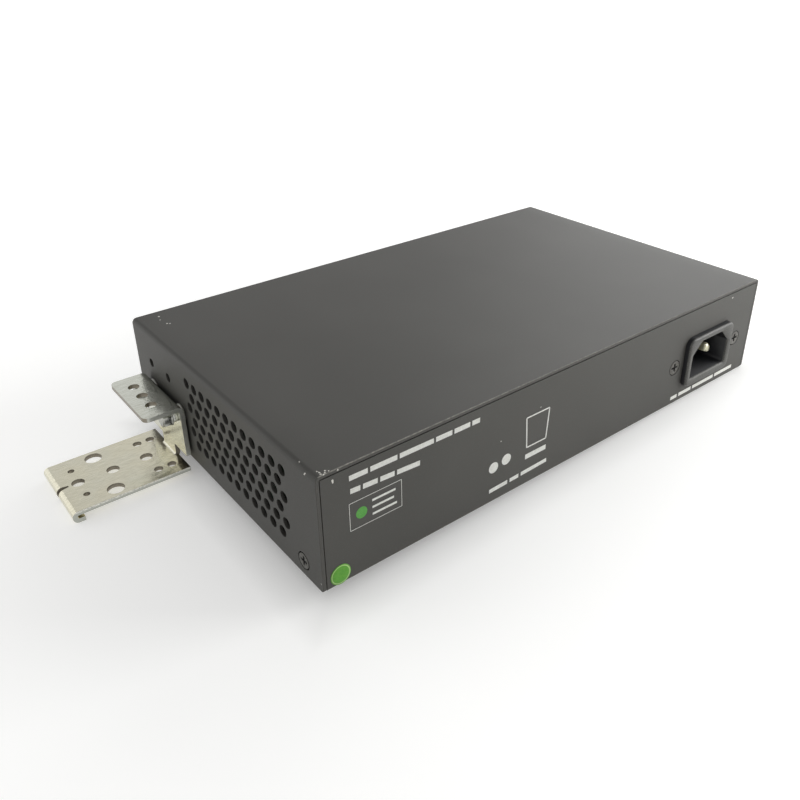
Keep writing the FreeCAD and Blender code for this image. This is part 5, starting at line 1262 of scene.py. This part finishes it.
# places and sizes in metres, power in watts
LAMPS = (
    ("side", (0.50, -0.50, 0.16), 0.6, 1.1),
    ("top", (-1.15, -0.45, 0.60), 0.9, 6.0),
    ("rear", (-0.42, 0.30, 0.20), 0.3, 2.0),
)
LENS_MM = 36.155
SENSOR_MM = 36.0
SHIFT = (-0.00865, -0.0640)
EYE = (0.189403, 0.210643, 0.165397)
EYE_TURN = (62.4796, 0.6475, 141.7969)

tilt = -clip_low[2] / (clip_high[0] - HOOK_INSET + cover_high[0])
half = FLOOR_SIZE / 2
corners = [(x, y, (cover_low[0] - x) * tilt - FLOOR_SLIP)
           for x, y in ((-half, -half), (half, -half), (half, half), (-half, half))]
floor_mesh = bpy.data.meshes.new("floor")
floor_mesh.from_pydata((np.array(corners) * MM).tolist(), [], [(0, 1, 2, 3)])
floor = bpy.data.objects.new("floor", floor_mesh)
bpy.context.scene.collection.objects.link(floor)
paper, tree, place = begin("floor_paper")
diffuse = add(tree, "BsdfDiffuse", {"Color": linear(FLOOR_TONE)})
spot = add(tree, "VectorMath", {0: place}, operation="ABSOLUTE")
past = add(tree, "VectorMath", {0: spot, 1: (*cover_high[:2].tolist(), 0.0)}, operation="SUBTRACT")
away = add(tree, "Math", {0: add(tree, "SeparateXYZ", {0: past}, out="X"),
                          1: add(tree, "SeparateXYZ", {0: past}, out="Y")}, operation="MAXIMUM")
# painted shade: the glow is near nothing under the case and rises past its edges
level = 0.0
for (start, low), (end, high) in zip(FLOOR_GLOW[:-1], FLOOR_GLOW[1:]):
    rise = add(tree, "MapRange", {0: away, 1: start, 2: end, 4: high - low})
    level = add(tree, "Math", {0: rise, 1: level}, operation="ADD")
seen = 0.0
for ray in ("Is Camera Ray", "Is Glossy Ray", "Is Transmission Ray"):
    seen = add(tree, "Math", {0: seen, 1: add(tree, "LightPath", out=ray)}, operation="MAXIMUM")
strength = add(tree, "Math", {0: seen, 1: level}, operation="MULTIPLY")
glow = add(tree, "Emission", {"Color": WHITE, "Strength": strength})
add(tree, "OutputMaterial", {"Surface": add(tree, "AddShader", {0: diffuse, 1: glow})})
floor_mesh.materials.append(paper)

world = bpy.data.worlds.new("studio")
bpy.context.scene.world = world
world.use_nodes = True
tree = world.node_tree
tree.nodes.clear()
heading = add(tree, "TexCoord", out="Generated")
climb = add(tree, "SeparateXYZ", {0: heading}, out="Z")
sky = add(tree, "MapRange", {0: climb, 1: 0.1, 2: 0.9, 3: 1.0, 4: SKY_TOP})
toward = add(tree, "VectorMath", {0: heading, 1: FLAG}, out=1, operation="DOT_PRODUCT")
flag = add(tree, "MapRange", {0: toward, 1: FLAG_EDGE[0], 2: FLAG_EDGE[1], 3: 1.0, 4: FLAG_TONE},
           interpolation_type="SMOOTHSTEP")
sky = add(tree, "Math", {0: sky, 1: flag}, operation="MULTIPLY")
glossy = add(tree, "LightPath", out="Is Glossy Ray")
ambient = add(tree, "Mix", {0: glossy, 2: AMBIENT, 3: sky}, data_type="FLOAT")
seen = add(tree, "Math", {0: add(tree, "LightPath", out="Is Camera Ray"),
                          1: add(tree, "LightPath", out="Is Transmission Ray")}, operation="MAXIMUM")
level = add(tree, "Mix", {0: seen, 2: ambient, 3: 1.0}, data_type="FLOAT")
add(tree, "OutputWorld", {"Surface": add(tree, "Background", {"Color": WHITE, "Strength": level})})

for name, spot, size, power in LAMPS:
    lamp = bpy.data.lights.new(name, "AREA")
    lamp.shape = "SQUARE"
    lamp.size = size
    lamp.energy = power
    holder = bpy.data.objects.new(name, lamp)
    holder.location = spot
    holder.rotation_mode = "QUATERNION"
    holder.rotation_quaternion = (-holder.location).to_track_quat("-Z", "Y")
    holder.visible_camera = False
    bpy.context.scene.collection.objects.link(holder)

camera = bpy.data.cameras.new("camera")
camera.lens = LENS_MM
camera.sensor_width = SENSOR_MM
camera.shift_x, camera.shift_y = SHIFT
camera.clip_start = 0.01
camera.clip_end = 50.0
eye = bpy.data.objects.new("camera", camera)
eye.location = EYE
eye.rotation_euler = np.radians(EYE_TURN)
bpy.context.scene.collection.objects.link(eye)
bpy.context.scene.camera = eye
bpy.context.scene.view_settings.view_transform = "Standard"
